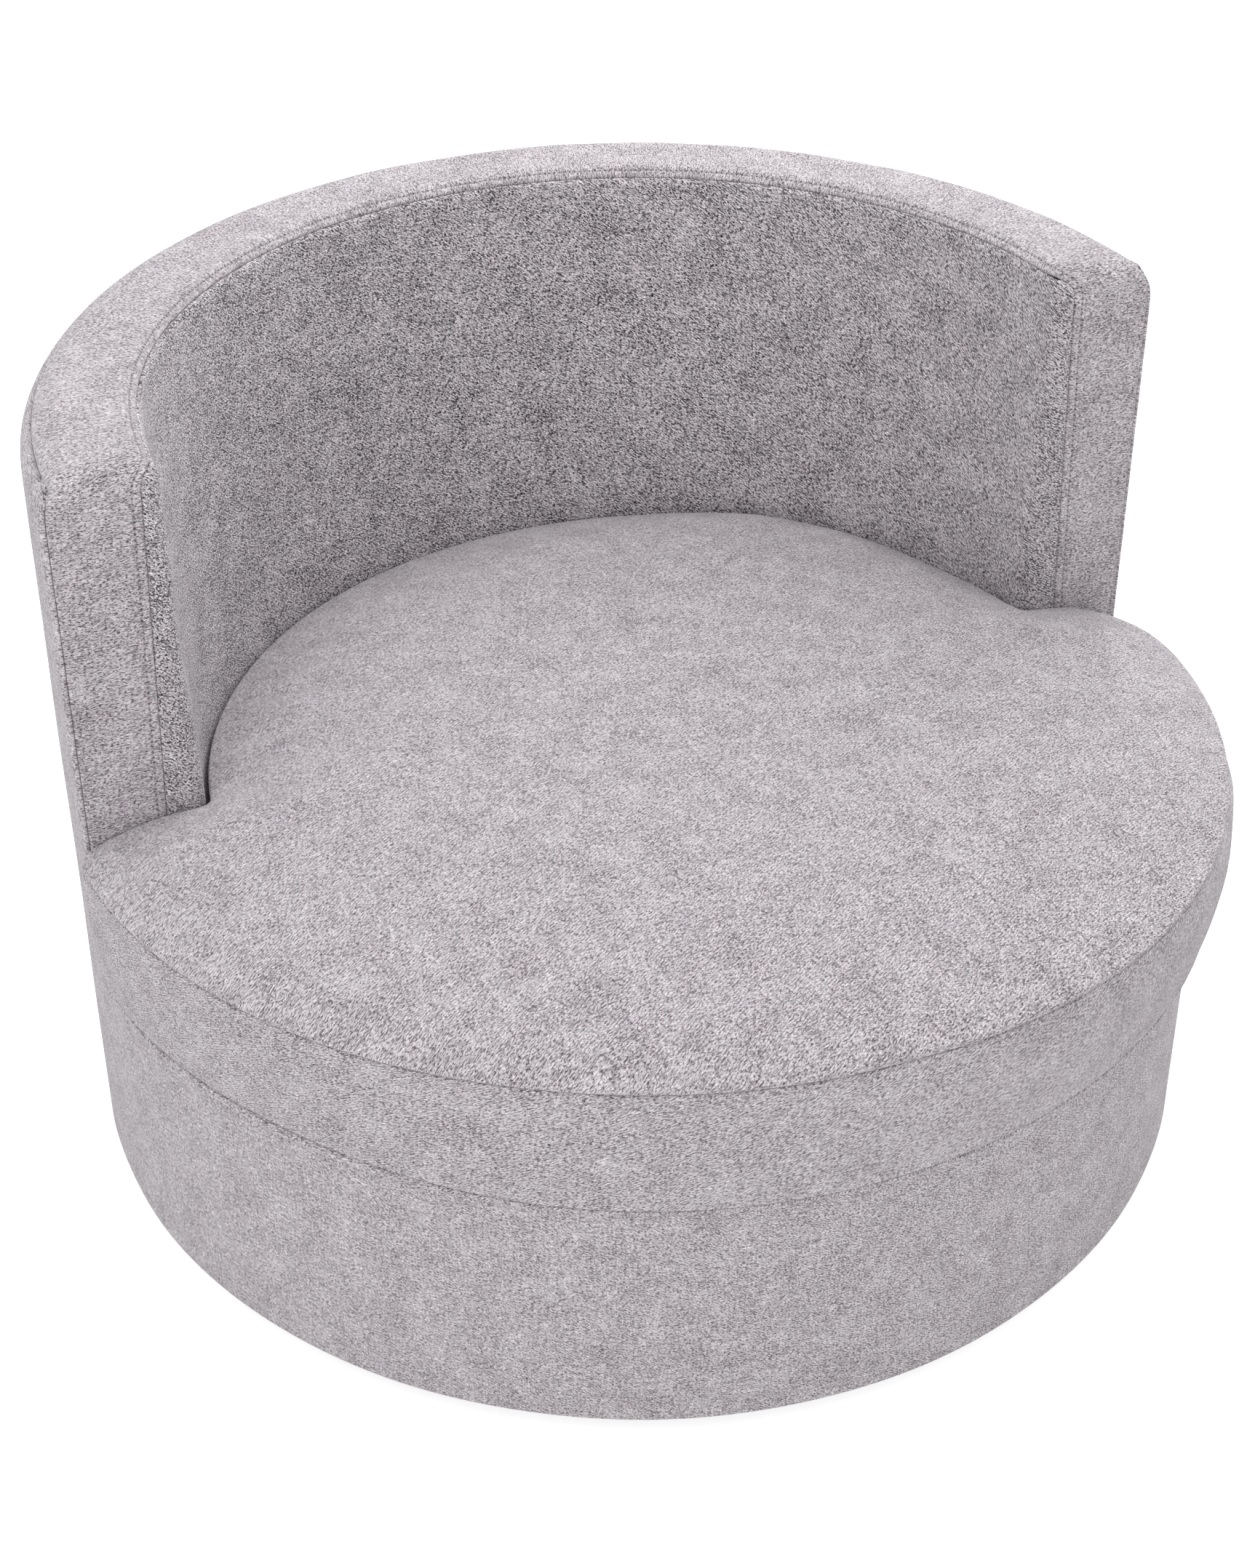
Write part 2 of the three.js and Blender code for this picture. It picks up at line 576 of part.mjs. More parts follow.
function addFrame() {
  const bottomRing = ring(ringInner, frameRadius, bottomRingBottom, bottomRingTop);
  add("base_bottom_ring", bottomRing, "plywood");
  add("seat_ring", seatRing(), "plywood");
  addUprights();
  const railInner = insideTopRadius + ribInset;
  const topRail = ring(railInner, frameRadius, topRailBottom, topRailTop);
  add("back_top_rail", topRail.intersect(behind(armRibFront)), "plywood");
  const basePanel = ring(panelInner, panelOuter, bottomRingBottom, seatRingTop);
  add("base_front_panel", basePanel.intersect(inFront(-SEAT_GAP)), "hardboard");
  const outsidePanel = ring(panelInner, panelOuter, bottomRingBottom, topRailTop);
  add("outside_back_panel", outsidePanel.intersect(behind(armRibFront)), "hardboard");
  const [low, high] = [backBottom, topRailTop];
  const panelFace = insideTopRadius + insidePanelInset;
  const insidePanel = backShell([
    leaning(panelFace, low),
    leaning(panelFace + INSIDE_PANEL_THICKNESS, low),
    leaning(panelFace + INSIDE_PANEL_THICKNESS, high),
    leaning(panelFace, high),
  ]);
  add("inside_back_panel", insidePanel.intersect(behind(armRibFront)), "hardboard");
  springOffsets.forEach((x, i) => add(`seat_spring_${i + 1}`, seatSpring(x), "springSteel"));
}

// Padding, deck and covers of the base

function addSoftBase() {
  const front = inFront(-SEAT_GAP);
  add("base_front_cover", baseCover(true).intersect(front), "cloth");
  const paddingTop = deckCoverBottom - SEAT_GAP;
  const basePadding = ring(paddingInner, paddingOuter, bottomRingBottom, paddingTop);
  add("base_front_padding", basePadding.intersect(front), "fibre");
  const outsidePadding = ring(paddingInner, paddingOuter, bottomRingBottom, topArcLevel - SEAT_GAP);
  const cutFrom = seatRingTop + OVERRUN;
  const corner = cornerCutter(OUTSIDE_RADIUS, 1, FACING_EDGE_RADIUS, foamInset, cutFrom);
  const endless = outsidePadding.intersect(behind(foamInset));
  add("outside_back_padding", endless.subtract(corner).subtract(corner.mirror([1, 0, 0])), "fibre");
  const clipSpace = ringInner + CLIP_REACH + CLIP_WIDTH / 2;
  const edgeRoll = revolve([
    [ringInner + SEAT_GAP, clipTop + SEAT_GAP],
    [clipSpace, clipTop + SEAT_GAP],
    [clipSpace, seatRingTop + SEAT_GAP],
    [panelOuter, seatRingTop + SEAT_GAP],
    [panelOuter, deckPadTop],
    [ringInner + SEAT_GAP, deckPadTop],
  ]);
  add("deck_edge_roll", edgeRoll.intersect(front), "foam");
  add("deck_pad", disc(deckRadius, deckPadBottom, deckPadTop), "felt");
  add("deck_cover", disc(deckRadius, deckCoverBottom, DECK_HEIGHT), "lining");
  const dustTop = bottomRingTop;
  const dustBottom = dustTop - DUST_COVER_THICKNESS;
  const sheet = disc(ringInner - SEAT_GAP, dustBottom, dustTop);
  const half = PLATE_SIDE / 2 + SEAT_GAP;
  const opening = box([-half, -half, dustBottom - OVERRUN], [half, half, dustTop + OVERRUN]);
  add("dust_cover", sheet.subtract(opening), "lining");
}

// Swivel: two plates, each with a grooved ring, and a caged ring of balls between them

function squarePlate(bottom, top) {
  const [half, corner] = [PLATE_SIDE / 2, PLATE_CORNER];
  const outline = [
    [half - corner, -half],
    [half, corner - half],
    [half, half - corner],
    [half - corner, half],
    [corner - half, half],
    [-half, half - corner],
    [-half, corner - half],
    [corner - half, -half],
  ];
  const plate = slab(outline, top - bottom).translate(0, 0, bottom);
  return plate.subtract(disc(PLATE_HOLE_RADIUS, bottom - OVERRUN, top + OVERRUN, SMALL_SEGMENTS));
}

// A race ring of a plate; the groove's 45 degree walls clear the balls by the running gap
function raceRing(side, root, tip) {
  const wall = BALL_CIRCLE + side * RACE_SPACING;
  const back = wall + side * RACE_DEPTH;
  const apex = BALL_CIRCLE + side * (BALL_RADIUS + RUNNING_GAP) * Math.SQRT2;
  const mouth = Math.abs(apex - wall);
  const profile = [
    [back, root],
    [wall, root],
    [wall, ballLevel + Math.sign(root - ballLevel) * mouth],
    [apex, ballLevel],
    [wall, ballLevel - Math.sign(root - ballLevel) * mouth],
    [wall, tip],
    [back, tip],
  ];
  return revolve(profile, SMALL_SEGMENTS);
}

function fixingHoles(radius, bottom, top) {
  const hole = disc(radius, bottom, top, FIXING_SEGMENTS);
  return fixingPlaces().map(([x, y]) => hole.translate(x, y, 0));
}

function fixingPlaces() {
  const d = FIXING_OFFSET;
  return [[d, -d], [d, d], [-d, d], [-d, -d]];
}

// A fixing with its head at one end; direction 1 points up out of the head
function fixing(head, direction, radius, headRadius, headHeight, length) {
  return revolve([
    [0, head],
    [headRadius, head],
    [headRadius, head + direction * headHeight],
    [radius, head + direction * headHeight],
    [radius, head + direction * (headHeight + length)],
    [0, head + direction * (headHeight + length)],
  ], FIXING_SEGMENTS);
}

function ballRace() {
  const [low, high] = [ballLevel - CAGE_WIRE / 2, ballLevel + CAGE_WIRE / 2];
  let race = ring(BALL_CIRCLE - CAGE_WIRE / 2, BALL_CIRCLE + CAGE_WIRE / 2, low, high, SMALL_SEGMENTS);
  const ball = toSolid(new THREE.SphereGeometry(BALL_RADIUS, FIXING_SEGMENTS, FIXING_SEGMENTS / 2));
  for (let i = 0; i < BALLS; i++)
    race = race.add(ball.translate(BALL_CIRCLE, 0, ballLevel).rotate([0, 0, (360 * i) / BALLS]));
  return race;
}

function addSwivel() {
  const lowerHole = SCREW_RADIUS + SEAT_GAP;
  const screwHead = lowerPlateTop + SEAT_GAP + SCREW_HEAD_HEIGHT;
  const screwEnd = screwHead - SCREW_HEAD_HEIGHT - SCREW_LENGTH - SEAT_GAP;
  const boltHead = upperPlateBottom - SEAT_GAP - BOLT_HEAD_HEIGHT;
  const boltEnd = boltHead + BOLT_HEAD_HEIGHT + BOLT_LENGTH + SEAT_GAP;
  const drill = (shape, holes) => holes.reduce((solid, hole) => solid.subtract(hole), shape);

  const lowerHoles = fixingHoles(lowerHole, screwEnd, screwHead);
  const board = ring(PLINTH_HOLE_RADIUS, PLINTH_RADIUS, plinthBottom, plinthTop, SMALL_SEGMENTS);
  add("plinth_board", drill(board, lowerHoles), "plywood");
  for (let i = 0; i < GLIDES; i++) {
    const glide = disc(GLIDE_RADIUS, 0, GLIDE_HEIGHT, FIXING_SEGMENTS * 2);
    add(`glide_${i + 1}`, glide.translate(glideCircle, 0, 0).rotate([0, 0, (360 * i) / GLIDES]), "glide");
  }
  const raceTip = ballLevel + RACE_REACH;
  const lowerRace = raceRing(-1, lowerPlateTop - PLATE_THICKNESS / 2, raceTip);
  const lowerPlate = squarePlate(lowerPlateBottom, lowerPlateTop).add(lowerRace);
  add("swivel_lower_plate", drill(lowerPlate, lowerHoles), "steel");
  add("ball_race", ballRace(), "steel");
  const upperRace = raceRing(1, upperPlateBottom + PLATE_THICKNESS / 2, ballLevel - RACE_REACH);
  const upperPlate = squarePlate(upperPlateBottom, upperPlateTop).add(upperRace);
  const upperHoles = fixingHoles(BOLT_RADIUS + SEAT_GAP, boltHead, boltEnd);
  add("swivel_upper_plate", drill(upperPlate, upperHoles), "steel");

  const screw = fixing(screwHead, -1, SCREW_RADIUS, SCREW_HEAD_RADIUS, SCREW_HEAD_HEIGHT, SCREW_LENGTH);
  const bolt = fixing(boltHead, 1, BOLT_RADIUS, BOLT_HEAD_RADIUS, BOLT_HEAD_HEIGHT, BOLT_LENGTH);
  fixingPlaces().forEach(([x, y], i) => {
    add(`plinth_screw_${i + 1}`, screw.translate(x, y, 0), "steel");
    add(`rail_bolt_${i + 1}`, bolt.translate(x, y, 0), "steel");
  });
  for (const [name, side] of [["front", -1], ["rear", 1]]) {
    const middle = side * FIXING_OFFSET;
    const outer = Math.abs(middle) + RAIL_WIDTH / 2;
    const end = Math.sqrt((frameRadius - RAIL_END_INSET) ** 2 - outer ** 2);
    const rail = box(
      [-end, middle - RAIL_WIDTH / 2, railBottom],
      [end, middle + RAIL_WIDTH / 2, railBottom + RAIL_HEIGHT],
    );
    add(`swivel_rail_${name}`, drill(rail, upperHoles), "plywood");
  }
}

// Cushion: full round in front of the arm ends, fitted between the arms behind them

const cushionBottom = DECK_HEIGHT + SEAT_GAP;
const cushionSeam = cushionBottom + CUSHION_BOXING;

// Outline at one level, all of it moved in by an inset
function cushionOutline(inset, level) {
  const frontRadius = OUTSIDE_RADIUS + CUSHION_OVERHANG - inset;
  const rearRadius = insideTopRadius - CUSHION_CLEARANCE - inset;
  const frontY = -(CUSHION_CLEARANCE + inset);
  const forward = forwardAt(level);
  const earRadius = EAR_RADIUS - inset;
  const earY = frontY - earRadius;
  const earX = Math.sqrt((frontRadius - earRadius) ** 2 - earY ** 2);
  const earTurn = Math.atan2(-earY, earX);
  const rearX = Math.sqrt(rearRadius ** 2 - (forward + frontY) ** 2);
  const half = SEGMENTS / 2;
  const ear = [];
  for (let step = 0; step <= EAR_STEPS; step++) {
    const angle = -earTurn + ((Math.PI / 2 + earTurn) * step) / EAR_STEPS;
    ear.push([earX + earRadius * Math.cos(angle), earY + earRadius * Math.sin(angle)]);
  }
  const leftEar = ear.map(([x, y]) => [-x, y]).reverse();
  const points = [[-rearX, frontY], ...leftEar];
  const firstStep = 1 + Math.round(earTurn / STEP_ANGLE);
  for (let step = firstStep; step <= half - firstStep; step++) {
    const angle = Math.PI + step * STEP_ANGLE;
    points.push([frontRadius * Math.cos(angle), frontRadius * Math.sin(angle)]);
  }
  points.push(...ear, [rearX, frontY]);
  for (let step = REAR_FIRST_STEP; step <= half - REAR_FIRST_STEP; step++) {
    const angle = step * STEP_ANGLE;
    points.push([rearRadius * Math.cos(angle), rearRadius * Math.sin(angle) - forward]);
  }
  return points;
}

// The crown's rings: from the seam in to a small circle in the middle
function crownRings(inset, level, drop) {
  const outline = cushionOutline(inset, level);
  const lengths = outline.map((p, i) => {
    const q = outline[(i + 1) % outline.length];
    return Math.hypot(q[0] - p[0], q[1] - p[1]);
  });
  const total = lengths.reduce((sum, length) => sum + length);
  const start = Math.atan2(outline[0][1] + CUSHION_CENTRE_FORWARD, outline[0][0]);
  let run = 0;
  const middle = outline.map((_, i) => {
    const angle = start + (2 * Math.PI * run) / total;
    run += lengths[i];
    const x = CUSHION_CENTRE_RADIUS * Math.cos(angle);
    return [x, CUSHION_CENTRE_RADIUS * Math.sin(angle) - CUSHION_CENTRE_FORWARD];
  });
  return [0, ...CROWN_RING_SHARES, 1].map((share) => {
    const z = level - drop + CUSHION_CROWN * (1 - share ** CROWN_POWER);
    return outline.map((p, i) => {
      const x = middle[i][0] + (p[0] - middle[i][0]) * share;
      const y = middle[i][1] + (p[1] - middle[i][1]) * share;
      return new THREE.Vector3(x, y, z);
    });
  });
}

const flat = (p) => new THREE.Vector2(p.x, p.y);
const atLevel = (outline, z) => outline.map(([x, y]) => new THREE.Vector3(x, y, z));

// The boxing's three levels, drawn in at the middle
function sideRings(inset, bottom, top) {
  const middle = (bottom + top) / 2;
  return [
    atLevel(cushionOutline(inset, bottom), bottom),
    atLevel(cushionOutline(inset + CUSHION_DRAW_IN, middle), middle),
    atLevel(cushionOutline(inset, top), top),
  ];
}

function addCushion() {
  const inner = COVER_THICKNESS + SEAT_GAP;
  const [bottom, top] = [cushionBottom + inner, cushionSeam - inner];
  const coreSides = sideRings(inner, bottom, top);
  const coreCrown = crownRings(inner, cushionSeam, inner).reverse();
  add("cushion_core", loft([...coreSides, ...coreCrown.slice(1)], flat), "foam");
  const edge = atLevel(cushionOutline(0, cushionSeam), cushionSeam - COVER_THICKNESS);
  const crown = loft([edge, ...crownRings(0, cushionSeam, 0).reverse()], flat);
  add("cushion_top_panel", crown.subtract(crown.translate(0, 0, -COVER_THICKNESS)), "cloth");
  const wall = loft(sideRings(0, bottom, top), flat);
  const hollow = loft(sideRings(COVER_THICKNESS, bottom - SEAT_GAP, top + SEAT_GAP), flat);
  add("cushion_boxing", wall.subtract(hollow), "cloth");
  const sheet = [cushionBottom, cushionBottom + COVER_THICKNESS];
  const panel = sheet.map((z) => atLevel(cushionOutline(0, cushionBottom), z));
  add("cushion_bottom_panel", loft(panel, flat), "cloth");
}

addSwivel();
addFrame();
addSoftBase();
addBackFoam();
addBackCovers();
addCushion();

export default chair;
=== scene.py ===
# %% [markdown]
# # A round swivel lounge chair, dressed in woven cloth
# The frame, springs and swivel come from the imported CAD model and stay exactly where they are.
# This lesson adds what an upholsterer adds: the outside cover, the inside back, the top band, the
# deck and the loose seat cushion, each one a sheet of cloth with its own seams.

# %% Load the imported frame
import json
import math

import bmesh
import bpy
import numpy as np
from mathutils import Matrix, Vector
from mathutils.geometry import delaunay_2d_cdt
from mathutils.kdtree import KDTree

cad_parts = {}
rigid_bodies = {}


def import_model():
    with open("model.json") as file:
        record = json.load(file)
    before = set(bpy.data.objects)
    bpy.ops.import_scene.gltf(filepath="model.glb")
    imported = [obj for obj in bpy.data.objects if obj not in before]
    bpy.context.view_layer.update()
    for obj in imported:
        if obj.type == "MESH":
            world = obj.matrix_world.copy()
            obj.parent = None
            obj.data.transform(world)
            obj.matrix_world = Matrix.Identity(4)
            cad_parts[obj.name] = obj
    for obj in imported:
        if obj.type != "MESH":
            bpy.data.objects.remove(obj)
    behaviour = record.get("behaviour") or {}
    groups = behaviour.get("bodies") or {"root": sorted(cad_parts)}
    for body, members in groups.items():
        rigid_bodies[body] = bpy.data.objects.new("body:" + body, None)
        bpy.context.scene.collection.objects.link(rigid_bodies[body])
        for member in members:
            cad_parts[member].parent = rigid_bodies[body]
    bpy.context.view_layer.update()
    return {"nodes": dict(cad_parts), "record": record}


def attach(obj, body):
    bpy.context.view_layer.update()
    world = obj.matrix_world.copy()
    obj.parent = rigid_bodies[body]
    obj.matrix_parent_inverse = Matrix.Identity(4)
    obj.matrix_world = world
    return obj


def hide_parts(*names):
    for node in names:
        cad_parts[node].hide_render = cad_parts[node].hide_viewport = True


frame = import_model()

# %% [markdown]
# The sizes below are the chair's own, in metres, and the covers share them. The origin is on the
# floor under the swivel, the front of the chair faces -Y and +Z is up.

# %% Sizes of the form that the cloth lies on
OUTER_RADIUS = 0.520
HEIGHT = 0.748
FLOOR_GAP = 0.020
DECK = 0.268
WELL_RADIUS = 0.416
RECLINE = 0.073
RECLINE_TOP = 0.728
RECLINE_RISE = 0.323
TOP_OUTER_ROUND = 0.040
TOP_INNER_ROUND = 0.020
FRONT_TOP_ROUND = 0.025
FRONT_INNER_ROUND = 0.016
FRONT_OUTER_ROUND = 0.006
CLOTH = 0.002
CUSHION_SEAM = 0.3963
CUSHION_FOOT = 0.2683
CUSHION_CROWN = 0.046
CUSHION_FRONT_RADIUS = 0.534
CUSHION_REAR_RADIUS = 0.4130
CUSHION_FACING_GAP = 0.0015
print("drum", 2 * OUTER_RADIUS, "m wide and", HEIGHT, "m high")

# %% [markdown]
# The photograph looks down on the chair from its front left. Its lens and place were found by
# fitting the rings of the base, the deck and the top band to the picture, so the camera needs no
# shift: it is set by a heading, a dip below the horizon and a very small tilt.

# %% Camera at the photograph's viewing angle
CAMERA_PLACE = Vector((-0.8753, -1.9296, 1.7988))
CAMERA_HEADING = math.radians(90.252 - 24.4)
CAMERA_DIP = 0.6115
CAMERA_TILT = -0.0023
CAMERA_LENS = 63.38

ahead = Vector((
    math.cos(CAMERA_HEADING) * math.cos(CAMERA_DIP),
    math.sin(CAMERA_HEADING) * math.cos(CAMERA_DIP),
    -math.sin(CAMERA_DIP),
))
level_right = Vector((math.sin(CAMERA_HEADING), -math.cos(CAMERA_HEADING), 0))
level_up = level_right.cross(ahead)
right = math.cos(CAMERA_TILT) * level_right + math.sin(CAMERA_TILT) * level_up
upward = math.cos(CAMERA_TILT) * level_up - math.sin(CAMERA_TILT) * level_right
bpy.ops.object.camera_add()
camera = bpy.context.object
camera.name = "photo_camera"
camera.data.lens = CAMERA_LENS
camera.data.sensor_width = 36
camera.data.clip_start = 0.05
camera.matrix_world = Matrix((
    (right.x, upward.x, -ahead.x, CAMERA_PLACE.x),
    (right.y, upward.y, -ahead.y, CAMERA_PLACE.y),
    (right.z, upward.z, -ahead.z, CAMERA_PLACE.z),
    (0, 0, 0, 1),
))
bpy.context.scene.camera = camera
print("camera at", tuple(round(c, 3) for c in CAMERA_PLACE))

# %% [markdown]
# Every finish below is a small tree of shader nodes, which could be wired by hand in the Shader
# Editor. The helpers here add a node, set its inputs and join its sockets in one line each, so a
# finish reads from its pattern down to its surface.

# %% Small helpers for node materials
def clear_selection():
    """Leaves nothing selected, so that the next operator acts on its own piece alone."""
    for thing in bpy.context.scene.objects:
        thing.select_set(False)
    bpy.context.view_layer.objects.active = None


def new_material(name):
    """A material with an empty node tree, and its tree."""
    made = bpy.data.materials.new(name)
    made.use_nodes = True
    made.node_tree.nodes.clear()
    return made, made.node_tree


def add_node(tree, kind, inputs=None, **settings):
    """A node with its settings, and its inputs either given a value or joined to a socket."""
    node = tree.nodes.new("ShaderNode" + kind)
    for key, value in settings.items():
        setattr(node, key, value)
    for key, value in (inputs or {}).items():
        if isinstance(value, bpy.types.NodeSocket):
            tree.links.new(value, node.inputs[key])
        else:
            node.inputs[key].default_value = value
    return node


def math_node(tree, operation, first, second=0.0, third=0.0):
    """One sum on one or two numbers."""
    node = add_node(tree, "Math", {0: first, 1: second, 2: third}, operation=operation)
    return node.outputs[0]


def blend_colours(tree, share, first, second, kind="MIX"):
    """Two colours blended, multiplied or added."""
    node = add_node(tree, "Mix", {"Factor": share, 6: first, 7: second}, data_type="RGBA")
    node.blend_type = kind
    return node.outputs[2]


def ramp(tree, socket, stops):
    """A colour ramp with (place, grey or colour) stops."""
    node = add_node(tree, "ValToRGB", {0: socket})
    band = node.color_ramp
    while len(band.elements) < len(stops):
        band.elements.new(0.5)
    for element, (place, colour) in zip(band.elements, stops):
        element.position = place
        if not isinstance(colour, tuple):
            colour = (colour,) * 3
        element.color = (*colour, 1)
    return node.outputs[0]


def map_range(tree, value, low, high, first, last, kind="LINEAR"):
    """Runs from first to last while the value runs from low to high."""
    inputs = {0: value, 1: low, 2: high, 3: first, 4: last}
    return add_node(tree, "MapRange", inputs, interpolation_type=kind).outputs[0]


def scaled(tree, vector, scale):
    """The vector with its own scale each way."""
    return add_node(tree, "Mapping", {"Vector": vector, "Scale": scale}).outputs[0]


def noise(tree, vector, scale, detail, dimensions="3D", **inputs):
    """A soft noise between 0 and 1."""
    values = {"Vector": vector, "Scale": scale, "Detail": detail, **inputs}
    return add_node(tree, "TexNoise", values, noise_dimensions=dimensions).outputs[0]


def finish_surface(tree, colour, height, bump, inputs):
    """Joins a colour and a bump to one shader. bump is the bump's strength and its depth."""
    strength, depth = bump
    raised = add_node(tree, "Bump", {"Strength": strength, "Distance": depth, "Height": height})
    skin = add_node(tree, "BsdfPrincipled", {
        "Base Color": colour, "Normal": raised.outputs[0], **inputs,
    })
    add_node(tree, "OutputMaterial", {"Surface": skin.outputs[0]})


# %% [markdown]
# A studio cut-out has a white ground. It could be a bare white world, but then nothing would
# stand on it. Here the ground stays a real floor that takes the chair's shadow, and only the
# rays that show the floor itself see it brightened to white.

# %% Floor and world
FLOOR_GREY = 0.86
FLOOR_LIFT = 0.65
AIR_LIGHT = 0.85


def showing_rays(tree):
    """1 for camera, mirror and glass rays, which show the ground itself."""
    path = add_node(tree, "LightPath")
    seen = math_node(tree, "MAXIMUM", path.outputs["Is Camera Ray"], path.outputs["Is Glossy Ray"])
    return math_node(tree, "MAXIMUM", seen, path.outputs["Is Transmission Ray"])


clear_selection()
bpy.ops.mesh.primitive_plane_add(size=60, location=(0, 0, 0))
floor = bpy.context.object
floor.name = "studio_floor"
floor_material, tree = new_material("studio_floor")
grain = add_node(tree, "TexNoise", {"Scale": 2.0, "Detail": 2.0})
paint = ramp(tree, grain.outputs[0], [(0.3, FLOOR_GREY), (0.7, FLOOR_GREY + 0.01)])
matt = add_node(tree, "BsdfDiffuse", {"Color": paint})
lift = math_node(tree, "MULTIPLY", showing_rays(tree), FLOOR_LIFT)
glow = add_node(tree, "Emission", {"Strength": lift})
both = add_node(tree, "AddShader", {0: matt.outputs[0], 1: glow.outputs[0]})
add_node(tree, "OutputMaterial", {"Surface": both.outputs[0]})
floor.data.materials.append(floor_material)

world = bpy.data.worlds.new("studio_air")
bpy.context.scene.world = world
world.use_nodes = True
tree = world.node_tree
tree.nodes.clear()
strength = add_node(tree, "Mix", {"Factor": showing_rays(tree), 2: AIR_LIGHT, 3: 1.0})
air = add_node(tree, "Background", {"Color": (1, 1, 1, 1), "Strength": strength.outputs[0]})
add_node(tree, "OutputWorld", {"Surface": air.outputs[0]})
print("ground", floor.name, "and", world.name)

# %% [markdown]
# Soft cloth wants soft light. Small lamps would draw hard shadows, so three large square ones
# are used, as a photographer uses soft boxes: a wide one overhead, a weak one low at the front
# left for the base, and the strongest behind on the right for the tops of the arms and the seat.

# %% Lamps
def soft_lamp(name, place, size, power, aim=(0, 0, 0.35)):
    """A large square lamp that looks at the chair."""
    clear_selection()
    bpy.ops.object.light_add(type="AREA", location=place)
    lamp = bpy.context.object
    lamp.name = name
    lamp.data.size = size
    lamp.data.energy = power
    look = Vector(aim) - Vector(place)
    lamp.rotation_euler = look.to_track_quat("-Z", "Y").to_euler()
    return lamp


soft_lamp("overhead_lamp", (0.1, 0.5, 3.2), 2.6, 33)
soft_lamp("low_left_lamp", (-2.4, -2.2, 0.7), 1.6, 19)
soft_lamp("right_back_lamp", (2.4, 2.0, 2.4), 2.0, 62)
bpy.context.scene.view_settings.view_transform = "Standard"

# %% [markdown]
# The cloth is a heathered weave: short plump grains of pale yarn lie in slanting rows, most of
# them nearly the same grey, a few darker or lighter, with a soft fuzz that catches the light at
# the edges. A photograph of cloth could be wrapped round the chair, but every panel would then
# repeat. Here the grains are cells of a stretched Voronoi pattern in each panel's own metric
# coordinates, so the weave follows the cloth and never repeats.

# %% The patterns in the cloth
WANDER = 0.0022


def flat_noise(tree, vector, scale, detail=1.0):
    """A soft noise in the plane of the cloth."""
    return noise(tree, vector, scale, detail, "2D", Roughness=0.65)


def wandering(tree, place):
    """The weave map with the small wander that yarn has."""
    drift = add_node(tree, "TexNoise", {"Vector": place, "Scale": 45.0, "Detail": 1.0})
    drift = add_node(tree, "VectorMath", {0: drift.outputs["Color"], 1: (0.5, 0.5, 0.5)},
                     operation="SUBTRACT")
    drift = add_node(tree, "VectorMath", {0: drift.outputs[0], "Scale": WANDER}, operation="SCALE")
    return add_node(tree, "VectorMath", {0: place, 1: drift.outputs[0]}, operation="ADD").outputs[0]


def grain_cells(tree, parts, grain_size, slant):
    """Cells of the grains' length and width: a random shade for each, and its plump dome."""
    along = math_node(tree, "DIVIDE", parts.outputs[0], grain_size[0])
    across = math_node(tree, "DIVIDE", parts.outputs[1], grain_size[1])
    along = math_node(tree, "MULTIPLY_ADD", across, math.copysign(0.45, -slant), along)
    cell = add_node(tree, "CombineXYZ", {0: along, 1: across}).outputs[0]
    grains = add_node(tree, "TexVoronoi", {"Vector": cell, "Scale": 1.0, "Randomness": 0.6},
                      voronoi_dimensions="2D", feature="F1")
    shade = add_node(tree, "SeparateColor", {0: grains.outputs["Color"]}).outputs[0]
    dome = map_range(tree, grains.outputs["Distance"], 0.05, 0.62, 1.0, 0.0, "SMOOTHSTEP")
    return shade, dome


def heather(tree, shade, speck, contrast):
    """Two layers of heather: lighter and darker grains, and specks of dyed fibre."""
    fleck = ramp(tree, shade, [
        (0.0, 1.0 - 1.9 * contrast), (0.14, 1.0 - 1.0 * contrast), (0.35, 1.0 - 0.25 * contrast),
        (0.62, 1.0), (0.86, 1.0 + 0.25 * contrast), (1.0, 1.0 + 0.5 * contrast),
    ])
    yarn = ramp(tree, speck, [
        (0.36, (1 - 2.3 * contrast, 1 - 2.55 * contrast, 1 - 2.4 * contrast)),
        (0.42, (1 - 1.3 * contrast, 1 - 1.45 * contrast, 1 - 1.35 * contrast)),
        (0.47, 1.0), (0.58, 1.0 + 0.25 * contrast), (0.66, 1.0 + 0.5 * contrast),
    ])
    return fleck, yarn


def needle_shade(tree, place, edge, pitch):
    """Painted shade of needle holes and their groove, at a distance from the map's edge, a pitch apart.
    """
    spot = add_node(tree, "SeparateXYZ", {0: place})
    off = math_node(tree, "SUBTRACT", spot.outputs[0], edge)
    step = math_node(tree, "FRACT", math_node(tree, "DIVIDE", spot.outputs[1], pitch))
    step = math_node(tree, "SUBTRACT", step, 0.5)
    step = math_node(tree, "MULTIPLY", step, pitch)
    far = add_node(tree, "CombineXYZ", {0: off, 1: step}).outputs[0]
    far = add_node(tree, "VectorMath", {0: far}, operation="LENGTH").outputs["Value"]
    # Each needle hole is painted darker: painted shade in the hole.
    hole = map_range(tree, far, 0.0005, 0.0015, 0.35, 1.0, "SMOOTHSTEP")
    # The groove along the row is painted darker too: painted shade.
    line = map_range(tree, math_node(tree, "ABSOLUTE", off), 0.0, 0.0016, 0.78, 1.0, "SMOOTHSTEP")
    return math_node(tree, "MULTIPLY", hole, line)


# %% [markdown]
# On top of the grains lie the faint lines of warp, weft and twill, the fuzz of single fibres and
# broad soft clouds. The same cloth looks a little different on each panel, because it was cut
# and pulled in its own direction, so each panel gets its own slant, contrast and start.

# %% The woven cloth
TWILL_PITCH = 0.0025


